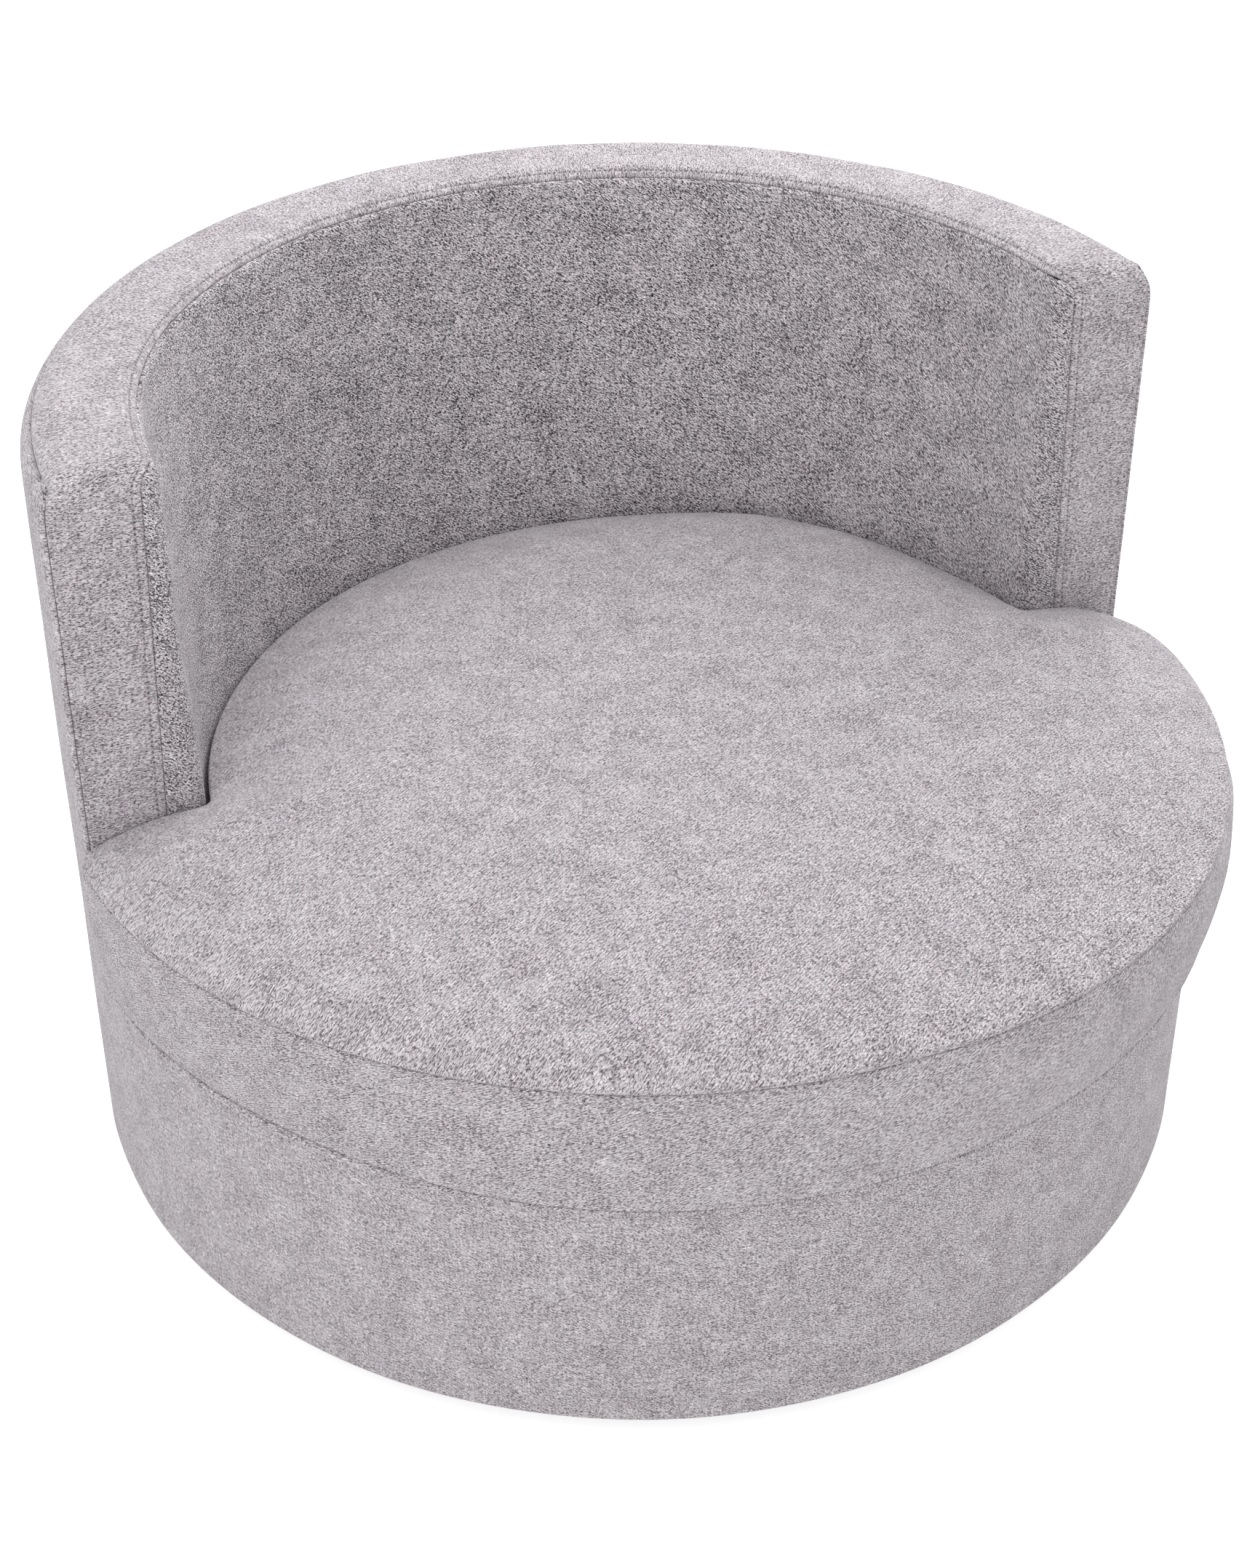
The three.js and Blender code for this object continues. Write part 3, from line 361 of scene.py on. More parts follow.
def woven_cloth(name, tone, grain_size, slant, contrast, hatch, twill_share, seed, stitch_row=None):
    """Heathered cloth in the piece's own weave map, which is in metres.

    tone is the cloth's colour. grain_size is a grain's length and width, and slant the direction
    of the rows in degrees. contrast says how much the grains differ, hatch and twill_share how
    much the lines of warp and weft and those of the twill show. seed is where the pattern starts.
    stitch_row is how far from the map's edge a row of needle holes lies, and their spacing.
    """
    made, tree = new_material(name)
    place = add_node(tree, "UVMap", uv_map="weave").outputs[0]
    laid = wandering(tree, place)
    turned = add_node(tree, "Mapping", {
        "Vector": laid, "Location": (seed, seed * 0.7, 0),
        "Rotation": (0, 0, math.radians(slant)),
    }, vector_type="POINT").outputs[0]
    parts = add_node(tree, "SeparateXYZ", {0: turned})
    shade, dome = grain_cells(tree, parts, grain_size, slant)

    cloud = flat_noise(tree, place, 26.0, 3.0)
    patch = flat_noise(tree, place, 150.0, 2.0)
    fibre = flat_noise(tree, laid, 2100.0, 2.0)
    speck = scaled(tree, turned, (1.1 / grain_size[0], 1.0 / grain_size[1], 1.0))
    speck = flat_noise(tree, speck, 1.0, 2.0)
    speck = math_node(tree, "MULTIPLY_ADD", cloud, 0.14, speck)
    speck = math_node(tree, "SUBTRACT", speck, 0.07)
    weft = flat_noise(tree, scaled(tree, laid, (50.0, 470.0, 1.0)), 1.0)
    warp = flat_noise(tree, scaled(tree, laid, (470.0, 50.0, 1.0)), 1.0)
    twill = math_node(tree, "MULTIPLY", parts.outputs[1], 2 * math.pi / TWILL_PITCH)
    twill = math_node(tree, "MULTIPLY_ADD", math_node(tree, "SINE", twill), 0.5, 0.5)

    # depth darkens the colour: first by the cloth's own uneven tone, then by painted shade below.
    depth = math_node(tree, "MULTIPLY_ADD", cloud, 0.14, 0.93)
    shares = [(patch, 0.28), (weft, hatch), (warp, hatch), (fibre, 0.34), (twill, twill_share)]
    for pattern, share in shares:
        change = math_node(tree, "MULTIPLY_ADD", pattern, share, 1.0 - share / 2)
        depth = math_node(tree, "MULTIPLY", depth, change)
    # Darker between the grains, where the dome falls: painted shade in the hollows between the yarns.
    gap = map_range(tree, dome, 0.0, 0.42, 1.0 - contrast, 1.0)
    depth = math_node(tree, "MULTIPLY", depth, gap)
    # The needle holes and the groove of the topstitching darken the colour: painted shade.
    if stitch_row:
        depth = math_node(tree, "MULTIPLY", depth, needle_shade(tree, place, *stitch_row))

    fleck, yarn = heather(tree, shade, speck, contrast)
    colour = blend_colours(tree, 1.0, fleck, (*tone, 1), "MULTIPLY")
    colour = blend_colours(tree, 1.0, colour, yarn, "MULTIPLY")
    colour = blend_colours(tree, 1.0, colour, depth, "MULTIPLY")
    height = math_node(tree, "MULTIPLY_ADD", fibre, 0.25, dome)
    height = math_node(tree, "MULTIPLY_ADD", patch, 0.5, height)
    height = math_node(tree, "MULTIPLY_ADD", speck, 0.8, height)
    finish_surface(tree, colour, height, (1.0, 0.0005), {
        "Roughness": 0.9, "Specular IOR Level": 0.15,
        "Sheen Weight": 0.42, "Sheen Roughness": 0.36, "Sheen Tint": (0.97, 0.96, 1.0, 1),
    })
    return made


# %% [markdown]
# The seat, the outside, the inside of the back and the top band are all cut from one pale grey
# cloth, drawn a little lighter or darker on each panel as it is lit: painted light and shade.
# The band also carries a row of topstitching, whose needle holes are painted as shade in its cloth.

# %% One cloth, four panels
PALE_TONE = (0.686, 0.647, 0.676)
STITCH_PITCH = 0.0054
TOPSTITCH = 0.008


def lit_tone(share):
    """The pale tone of the cloth, lighter or darker as the panel is lit: painted light and shade."""
    return tuple(share * part for part in PALE_TONE)


# Each share lightens or darkens the one cloth for how its panel is lit: painted light and shade.
seat_cloth = woven_cloth("seat_cloth", lit_tone(0.98), (0.0028, 0.0012), -28, 0.30, 0.34, 0.22, 0.3)
body_cloth = woven_cloth("body_cloth", lit_tone(1.01), (0.0023, 0.0012), -35, 0.30, 0.52, 0.14, 1.7)
inside_cloth = woven_cloth("inside_cloth", lit_tone(1.06), (0.0027, 0.0012), 40, 0.44, 0.38, 0.28, 2.9)
band_cloth = woven_cloth("band_cloth", lit_tone(1.02), (0.0030, 0.0012), -6, 0.32, 0.36, 0.05, 4.1,
                         (TOPSTITCH, STITCH_PITCH))
print("cloths", seat_cloth.name, body_cloth.name, inside_cloth.name, band_cloth.name)

# %% [markdown]
# The padded back is one smooth form with every edge rounded: a thick drum wall cut straight
# across at the front, leaning in towards the seat. Writing that form down once, as a rule that
# says how far a point lies outside it, lets every panel be laid on it exactly, so the panels
# meet edge to edge at their seams.

# %% The padded back as a rule
def forward_at(level):
    """How far the well's centre lies in front of the swivel at a level: the back leans."""
    return RECLINE * np.maximum(0, (RECLINE_TOP - level) / RECLINE_RISE)


def round_both(first, second, radius):
    """The inner side of two walls, with their shared edge rounded."""
    inside = np.minimum(-radius, np.maximum(first, second))
    return inside + np.hypot(np.maximum(first + radius, 0), np.maximum(second + radius, 0))


def back_form(point):
    """How far a point lies outside the padded back."""
    x, y, z = point[..., 0], point[..., 1], point[..., 2]
    well = WELL_RADIUS - np.hypot(x, y + forward_at(z))
    drum = np.hypot(x, y) - OUTER_RADIUS
    top = z - HEIGHT
    wall = np.maximum(round_both(top, well, TOP_INNER_ROUND), round_both(top, drum, TOP_OUTER_ROUND))
    near = np.stack([well, drum, top], -1) / 0.012
    near = np.exp(near - near.max(-1, keepdims=True))
    near /= near.sum(-1, keepdims=True)
    edge = near @ np.array([FRONT_INNER_ROUND, FRONT_OUTER_ROUND, FRONT_TOP_ROUND])
    return round_both(wall, -y, edge)


def slope(form, point, step=1e-5):
    """The direction in which a point leaves the form fastest."""
    sides = []
    for axis in np.eye(3) * step:
        sides.append((form(point + axis) - form(point - axis)) / (2 * step))
    return np.stack(sides, -1)


def settle(form, point, level=False, rounds=14):
    """Moves points onto the form, or along their own level onto it."""
    for _ in range(rounds):
        out = slope(form, point)
        if level:
            out[..., 2] = 0
        size = np.maximum((out ** 2).sum(-1), 0.05)
        point = point - (form(point) / size)[..., None] * out
    return point


def outward(form, point):
    """The unit normal of the form at each point."""
    out = slope(form, point)
    return out / np.linalg.norm(out, axis=-1, keepdims=True)


print("form at the rim", float(back_form(np.array([0.0, OUTER_RADIUS, 0.5]))))


# %% [markdown]
# Two seams divide the back into panels. Both run up one arm's front, over the top and down the
# other arm. Each is drawn as a path of stations, softened where it turns the corner, and then
# settled on the form.

# %% The two long seams of the back
STATION = 0.002
INNER_SEAM = {"foot": 0.450, "head": 0.435, "radius": 0.420, "level": 0.740}
OUTER_SEAM = {"foot": 0.5155, "head": 0.515, "radius": 0.508, "level": 0.736}


def seam_path(seam, softening=3.0):
    """The seam's points from the left arm's foot to the right arm's foot."""
    bend_foot = HEIGHT - FRONT_TOP_ROUND
    rise = np.arange(DECK + 0.0003, bend_foot, STATION)
    share = (rise - DECK) / (bend_foot - DECK)
    half = seam["foot"] + (seam["head"] - seam["foot"]) * share
    arm = np.stack([-half, 0 * rise, rise], -1)
    turn = np.linspace(0, 0.6, 10)[1:]
    bend = np.stack([
        0 * turn - seam["head"], FRONT_TOP_ROUND * (1 - np.cos(turn)),
        bend_foot + FRONT_TOP_ROUND * np.sin(turn),
    ], -1)
    swing = np.linspace(math.pi - 0.045, math.pi / 2, 361)
    over = np.stack([
        seam["radius"] * np.cos(swing), seam["radius"] * np.sin(swing),
        0 * swing + seam["level"],
    ], -1)
    half_path = np.concatenate([arm, bend, over])
    whole = np.concatenate([half_path, half_path[-2::-1] * np.array([-1, 1, 1])])
    reach = np.arange(-12, 13)
    weight = np.exp(-0.5 * (reach / softening) ** 2)
    weight /= weight.sum()
    padded = np.concatenate([
        2 * whole[0] - whole[12:0:-1], whole, 2 * whole[-1] - whole[-2:-14:-1],
    ])
    soft = sum(w * padded[12 + k:12 + k + len(whole)] for k, w in zip(reach, weight))
    return settle(back_form, soft)


inner_seam = seam_path(INNER_SEAM)
outer_seam = seam_path(OUTER_SEAM)


def path_length(path):
    """How far along the path each of its points lies."""
    steps = np.linalg.norm(np.diff(path, axis=0), axis=1)
    return np.concatenate([[0], np.cumsum(steps)])


print("seams", len(inner_seam), "stations,", round(path_length(inner_seam)[-1], 3), "m long")

# %% [markdown]
# A sheet of cloth starts as a flat grid, as it would lie on the cutting table, and its rows and
# columns are then laid on the form. Its weave map keeps real lengths, its edges roll down into the
# seams, and a Solidify modifier gives it its thickness.

# %% Laying a sheet of cloth
def numbers(mesh):
    """The places of a mesh's vertices."""
    flat = np.zeros(len(mesh.vertices) * 3)
    mesh.vertices.foreach_get("co", flat)
    return flat.reshape(-1, 3)


def put_weave(piece, weave):
    """Writes the weave map: weave has one pair of lengths for each corner of each face."""
    layer = piece.data.uv_layers.get("weave") or piece.data.uv_layers.new(name="weave")
    layer.data.foreach_set("uv", np.asarray(weave, np.float32).ravel())


def corner_vertices(mesh):
    """The vertex of each corner of each face."""
    index = np.zeros(len(mesh.loops), np.int32)
    mesh.loops.foreach_get("vertex_index", index)
    return index


def lay_sheet(name, points, weave):
    """A grid whose rows and columns lie at points[row, column], facing as the form faces."""
    rows, columns = points.shape[:2]
    clear_selection()
    bpy.ops.mesh.primitive_grid_add(x_subdivisions=columns - 1, y_subdivisions=rows - 1, size=1)
    sheet = bpy.context.object
    sheet.name = name
    sheet.data.name = name
    flat = numbers(sheet.data)
    column = np.rint((flat[:, 0] + 0.5) * (columns - 1)).astype(int)
    row = np.rint((flat[:, 1] + 0.5) * (rows - 1)).astype(int)
    sheet.data.vertices.foreach_set("co", points[row, column].ravel())
    for layer in list(sheet.data.uv_layers):
        sheet.data.uv_layers.remove(layer)
    corner = corner_vertices(sheet.data)
    put_weave(sheet, weave[row[corner], column[corner]])
    sheet.data.update()
    return sheet


def face_like(sheet, form_out):
    """Turns the sheet's faces round where they look into the padding."""
    normals = np.zeros(len(sheet.data.polygons) * 3)
    centres = normals.copy()
    sheet.data.polygons.foreach_get("normal", normals)
    sheet.data.polygons.foreach_get("center", centres)
    out = form_out(centres.reshape(-1, 3))
    if (normals.reshape(-1, 3) * out).sum() < 0:
        sheet.data.flip_normals()


# %% [markdown]
# What every panel still needs is the same: a thickness, its cloth, a smooth surface and the body
# that it moves with. Padding under cloth is never quite even either, so each panel also gets a
# few long shallow waves.

# %% Thickness, cloth and unevenness
def apply_modifier(piece, kind, **settings):
    """Adds one modifier, as from the menu, and applies it."""
    clear_selection()
    piece.select_set(True)
    bpy.context.view_layer.objects.active = piece
    made = piece.modifiers.new(kind.lower(), kind)
    for key, value in settings.items():
        setattr(made, key, value)
    bpy.ops.object.modifier_apply(modifier=made.name)


def finish_cloth(piece, material, body, thickness=CLOTH):
    """Gives the sheet its thickness, its cloth and the body that it moves with."""
    apply_modifier(piece, "SOLIDIFY", thickness=thickness, offset=-1)
    piece.data.materials.clear()
    piece.data.materials.append(material)
    piece.data.shade_smooth()
    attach(piece, body)
    print(piece.name, len(piece.data.polygons), "faces")


def soft_waves(point, height, length, seed):
    """A gentle unevenness, as padding under cloth has."""
    choose = np.random.default_rng(seed)
    total = np.zeros(point.shape[:-1])
    for _ in range(7):
        way = choose.normal(size=3)
        way /= np.linalg.norm(way)
        wave = length * choose.uniform(0.7, 1.5)
        total += np.sin(point @ way * 2 * math.pi / wave + choose.uniform(0, 2 * math.pi))
    return height * total / 3.5


# %% [markdown]
# Where two panels meet, both roll over and dive into the seam. The roll could be cut by a Bevel
# modifier, but then its cloth map would stretch, so the distance to the seam is measured and the
# surface is lowered by a quarter circle.

# %% Rolling into a seam
SEAM_ROLL = 0.0028


def seam_roll(distance, radius=SEAM_ROLL):
    """How deep the cloth's surface lies near a seam, where it rolls in."""
    inside = np.clip(1 - distance / radius, 0, 1)
    return radius * (1 - np.sqrt(np.maximum(0, 1 - inside ** 2)))


def distance_to(path, points, reach=0.03):
    """How far each point lies from the path, up to reach."""
    length = path_length(path)
    fine = np.arange(0, length[-1], 0.0003)
    dense = np.stack([np.interp(fine, length, path[:, k]) for k in range(3)], -1)
    tree = KDTree(len(dense))
    for index, spot in enumerate(dense):
        tree.insert(spot, index)
    tree.balance()
    flat = points.reshape(-1, 3)
    far = np.array([min(reach, tree.find(spot)[2]) for spot in flat])
    return far.reshape(points.shape[:-1])


# %% [markdown]
# The top band is one long strip. It starts at the foot of the left arm's front, runs up, turns
# over the corner, follows the top of the back and comes down the right arm. On the real chair
# it is sewn to the inside panel and to the outside cover, and a row of topstitching beside each
# seam holds the folded allowance flat.

# %% The top band
ROLL_STEPS = [0, 0.0003, 0.0009, 0.0017, 0.0028, 0.0045, 0.0062, 0.0072, 0.008, 0.0088, 0.0098, 0.0115]
TOPSTITCH_DEPTH = 0.0007


def stitch_dimple(distance):
    """How deep a row of topstitching pulls the cloth in."""
    return TOPSTITCH_DEPTH * np.exp(-((distance - TOPSTITCH) / 0.0014) ** 2)


def band_points():
    """The band's rows from the inner seam to the outer seam, and its weave map."""
    start, end = inner_seam[::2], outer_seam[::2]
    share = np.linspace(0, 1, 81)[:, None, None]
    dense = settle(back_form, start * (1 - share) + end * share)
    across = np.concatenate([
        np.zeros((1, dense.shape[1])),
        np.cumsum(np.linalg.norm(np.diff(dense, axis=0), axis=2), axis=0),
    ])
    edge = np.array(ROLL_STEPS)
    middle = np.linspace(0, 1, 17)[1:-1]
    points = []
    lengths = []
    for column in range(dense.shape[1]):
        width = across[-1, column]
        spread = edge[-1] + middle * (width - 2 * edge[-1])
        wanted = np.concatenate([edge, spread, width - edge[::-1]])
        points.append(np.stack([
            np.interp(wanted, across[:, column], dense[:, column, k]) for k in range(3)
        ], -1))
        lengths.append(np.stack([wanted, width - wanted], -1))
    points = settle(back_form, np.stack(points, 1))
    lengths = np.stack(lengths, 1)
    middle_line = path_length(points[points.shape[0] // 2])
    weave = np.stack([lengths[..., 0], np.broadcast_to(middle_line, lengths.shape[:2])], -1)
    return points, lengths, weave


points, lengths, weave = band_points()
normal = outward(back_form, points)
depth = seam_roll(lengths[..., 0]) + seam_roll(lengths[..., 1])
depth += stitch_dimple(lengths[..., 0])
calm = np.clip(np.minimum(lengths[..., 0], lengths[..., 1]) / 0.02, 0, 1)
depth -= calm * soft_waves(points, 0.0006, 0.11, 5)
band_surface = points - depth[..., None] * normal
top_band = lay_sheet("top_band", band_surface, weave)
face_like(top_band, lambda spot: outward(back_form, spot))
finish_cloth(top_band, band_cloth, "chair")
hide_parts("top_band_cover")

# %% [markdown]
# The stitches are short lengths of thread that lie in the row and dive into the cloth at both
# ends. One stitch is modelled from a sphere and copied along the row, because the same stitch
# repeats some four hundred times.

# %% The topstitching
STITCH_LENGTH = 0.0034
THREAD_RADIUS = 0.00042
OUTER_ROW = 0.0030
ROW_MARGIN = 0.012


def thread_material():
    """Twisted thread, painted darker than the cloth, with light and dark stripes across the twist:
    painted shade.
    """
    made, tree = new_material("thread")
    place = add_node(tree, "TexCoord").outputs["Object"]
    twist_shade_and_relief = add_node(tree, "TexWave", {
        "Vector": place, "Scale": 900.0, "Distortion": 2.0, "Detail": 1.0,
    }, bands_direction="DIAGONAL").outputs[1]
    # The thread's darker grey and its light and dark stripes are painted shade of the row and of the
    # twist.
    colour = ramp(tree, twist_shade_and_relief, [(0.2, (0.36, 0.33, 0.35)), (0.8, (0.56, 0.53, 0.55))])
    finish_surface(tree, colour, twist_shade_and_relief, (0.6, 0.0001), {"Roughness": 0.6})
    return made


thread = thread_material()


def one_stitch():
    """A stitch along X: its vertices and faces."""
    clear_selection()
    bpy.ops.mesh.primitive_uv_sphere_add(segments=6, ring_count=4, radius=1)
    model = bpy.context.object
    bpy.ops.transform.rotate(value=math.pi / 2, orient_axis="Y", center_override=(0, 0, 0))
    bpy.ops.transform.resize(value=(STITCH_LENGTH / 2, THREAD_RADIUS, THREAD_RADIUS))
    bpy.ops.object.transform_apply(rotation=True, scale=True)
    spots = numbers(model.data)
    faces = [list(face.vertices) for face in model.data.polygons]
    bpy.data.objects.remove(model)
    return spots, faces


def copied_faces(faces, size, count):
    """The faces of count copies of a small mesh that has size vertices."""
    return [[vertex + size * k for vertex in face] for k in range(count) for face in faces]


def stitch_row(name, surface, lengths, along, distance, body, rise=0.0001):
    """Copies of the stitch along a row at a distance from the band's edge."""
    columns = surface.shape[1]
    row = np.stack([
        [np.interp(distance, lengths[:, k], surface[:, k, axis]) for axis in range(3)]
        for k in range(columns)
    ])
    count = int((along[-1] - ROW_MARGIN) / STITCH_PITCH)
    wanted = STITCH_PITCH * np.arange(2, count)
    centre = np.stack([np.interp(wanted, along, row[:, k]) for k in range(3)], -1)
    ahead = np.stack([np.interp(wanted + 0.001, along, row[:, k]) for k in range(3)], -1) - centre
    ahead /= np.linalg.norm(ahead, axis=1, keepdims=True)
    up = outward(back_form, centre)
    side = np.cross(up, ahead)
    side /= np.linalg.norm(side, axis=1, keepdims=True)
    up = np.cross(ahead, side)
    spots, faces = one_stitch()
    turned = np.einsum("ij,kjl->kil", spots, np.stack([ahead, side, up], 1))
    places = (turned + (centre + rise * up)[:, None]).reshape(-1, 3)
    mesh = bpy.data.meshes.new(name)
    mesh.from_pydata(places.tolist(), [], copied_faces(faces, len(spots), len(centre)))
    mesh.materials.append(thread)
    mesh.shade_smooth()
    piece = bpy.data.objects.new(name, mesh)
    bpy.context.scene.collection.objects.link(piece)
    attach(piece, body)
    print(name, len(centre), "stitches")
    return piece


along = path_length(points[points.shape[0] // 2])
stitch_row("inner_topstitching", band_surface, lengths[..., 0], along, TOPSTITCH, "chair")
stitch_row("outer_seam_stitches", band_surface[::-1], lengths[::-1, :, 1], along, OUTER_ROW, "chair")

# %% [markdown]
# The inside back lines the well. It is laid row by row: at each level a row starts on the inner
# seam of the left arm, turns the arm's inner corner, goes round the well and ends on the right
# arm's seam.

# %% The rows of the inside back
NEAR_SEAM = 0.060


def level_row(level, count, left):
    """One row of the inside panel at a level, with its columns closer together at the seams."""
    behind = max(0.0, float(left[1]))
    back = forward_at(level) + behind
    x_well = math.sqrt(WELL_RADIUS ** 2 - back ** 2)
    arc_half = math.pi / 2 - math.asin(back / WELL_RADIUS)
    flat = np.linspace(0, 1, 30)[:, None]
    corner = np.array([-x_well, behind])
    front = left[:2] * (1 - flat) + corner * flat
    turn = np.linspace(-arc_half, 0, 240)[1:]
    well = np.stack([
        WELL_RADIUS * np.sin(turn), WELL_RADIUS * np.cos(turn) - forward_at(level),
    ], -1)
    guide = np.concatenate([front, well])
    guide = np.concatenate([guide, guide[-2::-1] * np.array([-1, 1])])
    guide = np.concatenate([guide, np.full((len(guide), 1), level)], 1)
    guide = settle(back_form, guide, level=True)
    guide[0] = left
    guide[-1] = left * np.array([-1, 1, 1])
    length = path_length(guide)
    edge = np.array(ROLL_STEPS)
    inner = np.linspace(edge[-1], NEAR_SEAM, 14)[1:]
    middle = np.linspace(NEAR_SEAM, length[-1] - NEAR_SEAM, count)[1:-1]
    wanted = np.concatenate([
        edge, inner, middle, length[-1] - inner[::-1], length[-1] - edge[::-1],
    ])
    return np.stack([np.interp(wanted, length, guide[:, k]) for k in range(3)], -1), wanted


def seam_at(path, level):
    """The left arm's seam point at a level."""
    half = path[: len(path) // 2]
    rising = half[: int(np.argmax(half[:, 2] >= half[:, 2].max() - 1e-5)) + 1]
    return np.array([np.interp(level, rising[:, 2], rising[:, k]) for k in range(3)])


def inside_points():
    """The rows of the inside panel from the deck to the seam under the top band."""
    top = float(inner_seam[len(inner_seam) // 2, 2])
    close = top - 0.8 * np.array(ROLL_STEPS)[::-1]
    corner = inner_seam[: len(inner_seam) // 2, 2]
    corner = corner[(corner > close[0] - 0.004) & (corner < top)][::2]
    levels = np.concatenate([np.linspace(DECK - 0.0015, close[0] - 0.004, 92), corner, close])
    levels = np.sort(levels)
    levels = levels[np.concatenate([np.diff(levels) > 0.00015, [True]])]
    rows = []
    widths = []
    for level in levels:
        spot, wanted = level_row(level, 300, seam_at(inner_seam, level))
        rows.append(spot)
        widths.append(wanted)
    points = settle(back_form, np.stack(rows))
    widths = np.stack(widths)
    middle = points[:, points.shape[1] // 2]
    weave = np.stack([
        widths - widths[:, -1:] / 2, np.broadcast_to(path_length(middle)[:, None], widths.shape),
    ], -1)
    return points, weave


# %% [markdown]
# A panel is cut a little larger than it shows, and the strip past the seam is the allowance. It
# lies hidden under the next panel, so no gap opens where the two panels meet at a corner.

# %% The inside back
SEAM_ALLOWANCE = 0.0028
points, weave = inside_points()
normal = outward(back_form, points)
far = distance_to(inner_seam, points)
far[-1] = 0
far[:, 0] = 0
far[:, -1] = 0
depth = seam_roll(far) - np.clip(far / 0.03, 0, 1) * soft_waves(points, 0.0010, 0.16, 8)
surface = points - depth[..., None] * normal


def allowance(surface, points, normal, weave):
    """Adds the strip past the seam on the left, which lies hidden under the band."""
    side = points[:, :1] - points[:, 2:3]
    side /= np.maximum(1e-9, np.linalg.norm(side, axis=-1, keepdims=True))
    strip = surface[:, :1] + SEAM_ALLOWANCE * (side - 0.6 * normal[:, :1])
    mapped = weave[:, :1] + (weave[:, :1] - weave[:, 1:2])
    return (
        np.concatenate([strip, surface], 1), np.concatenate([points[:, :1], points], 1),
        np.concatenate([normal[:, :1], normal], 1), np.concatenate([mapped, weave], 1),
    )


laid = (surface, points, normal, weave)
laid = allowance(*laid)
laid = allowance(*[part[:, ::-1] for part in laid])
laid = [part[:, ::-1] for part in laid]
laid = allowance(*[part.transpose(1, 0, 2)[:, ::-1] for part in laid])
surface, points, normal, weave = [part[:, ::-1].transpose(1, 0, 2) for part in laid]
inside_back = lay_sheet("inside_back", surface, weave)
face_like(inside_back, lambda spot: outward(back_form, spot))
finish_cloth(inside_back, inside_cloth, "chair")
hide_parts("inside_back_cover", "back_foam_right", "back_foam_left")

# %% [markdown]
# One cover goes right round the outside. Below the deck it is a full drum, above the deck it is
# the outside of the back, whose ends turn the arms' outer corners to the outer seam. Its hem
# turns under the base, and along the front its upper edge rolls over onto the deck.

# %% The profile of the drum
EDGE_ROUND = 0.012
HEM = 0.048
HEM_ROUND = 0.005


def drum_rows():
    """Radius and level down the drum's wall, from under the deck's edge to the hem's end."""
    rows = []
    for level in np.linspace(DECK - EDGE_ROUND, FLOOR_GAP + HEM_ROUND, 50):
        rows.append((OUTER_RADIUS, level))
    for turn in np.linspace(0, math.pi / 2, 6)[1:]:
        rows.append((
            OUTER_RADIUS - HEM_ROUND * (1 - math.cos(turn)),
            FLOOR_GAP + HEM_ROUND * (1 - math.sin(turn)),
        ))
    for share in np.linspace(0, 1, 7)[1:]:
        rows.append((OUTER_RADIUS - HEM_ROUND - share * (HEM - HEM_ROUND), FLOOR_GAP))
    return np.array(rows)


def drum_wall(turns, rows):
    """Points of the drum's wall and hem for a list of turns."""
    radius, level = rows[:, 0][:, None], rows[:, 1][:, None]
    return np.stack([
        radius * np.cos(turns), radius * np.sin(turns), np.broadcast_to(level, (len(rows), len(turns))),
    ], -1)


def run_down(rows):
    """How far down the cover each row lies."""
    return np.concatenate([[0], np.cumsum(np.hypot(*np.diff(rows, axis=0).T))])


# %% [markdown]
# Above the deck the cover is the outside of the back. Its rows are level, as on the inside, and
# each runs from the left arm's outer seam right round to the right arm's.

# %% The outside of the back
def upper_points():
    """The outside of the back above the deck's edge, with the turned corners."""
    top = float(outer_seam[len(outer_seam) // 2, 2])
    near_top = top - 0.62 * np.array(ROLL_STEPS)[::-1]
    levels = np.concatenate([
        np.linspace(DECK - EDGE_ROUND, 0.70, 74),
        np.linspace(0.70, near_top[0] - 0.002, 8)[1:],
        near_top,
    ])
    rows = []
    for level in levels:
        left = seam_at(outer_seam, max(level, DECK + 0.0003))
        left = np.array([left[0], left[1], level])
        turn = np.linspace(math.pi - 0.0004, math.pi / 2, 700)
        guide = np.stack([OUTER_RADIUS * np.cos(turn), OUTER_RADIUS * np.sin(turn)], -1)
        head = np.linspace(left[:2], guide[0], 12)[:-1]
        guide = np.concatenate([head, guide])
        guide = np.concatenate([guide, guide[-2::-1] * np.array([-1, 1])])
        guide = np.concatenate([guide, np.full((len(guide), 1), level)], 1)
        guide = settle(back_form, guide, level=True)
        guide[0] = left
        guide[-1] = left * np.array([-1, 1, 1])
        length = path_length(guide)
        edge = np.array(ROLL_STEPS)
        middle = np.linspace(edge[-1], length[-1] - edge[-1], 381)[1:-1]
        wanted = np.concatenate([edge, middle, length[-1] - edge[::-1]])
        rows.append(np.stack([np.interp(wanted, length, guide[:, k]) for k in range(3)], -1))
    return settle(back_form, np.stack(rows))


upper = upper_points()
normal = outward(back_form, upper)
far = distance_to(outer_seam, upper)
far[-1] = 0
far[:, 0] = 0
far[:, -1] = 0
depth = seam_roll(far) - np.clip(far / 0.03, 0, 1) * soft_waves(upper, 0.0007, 0.2, 3)
upper = upper - depth[..., None] * normal
low_turns = np.arctan2(upper[0, :, 1], upper[0, :, 0])
rise = np.broadcast_to(upper[:, :1, 2], upper.shape[:2])
weave = np.stack([-OUTER_RADIUS * np.broadcast_to(low_turns, upper.shape[:2]), rise], -1)
back_wall = lay_sheet("outside_cover", upper, weave)
face_like(back_wall, lambda spot: outward(back_form, spot))

# %% [markdown]
# Below the deck the cover is a plain drum, whose columns go on from those of the back, so that
# both parts can be merged point by point.

# %% The wall of the drum
BACK_FROM = 0.0105

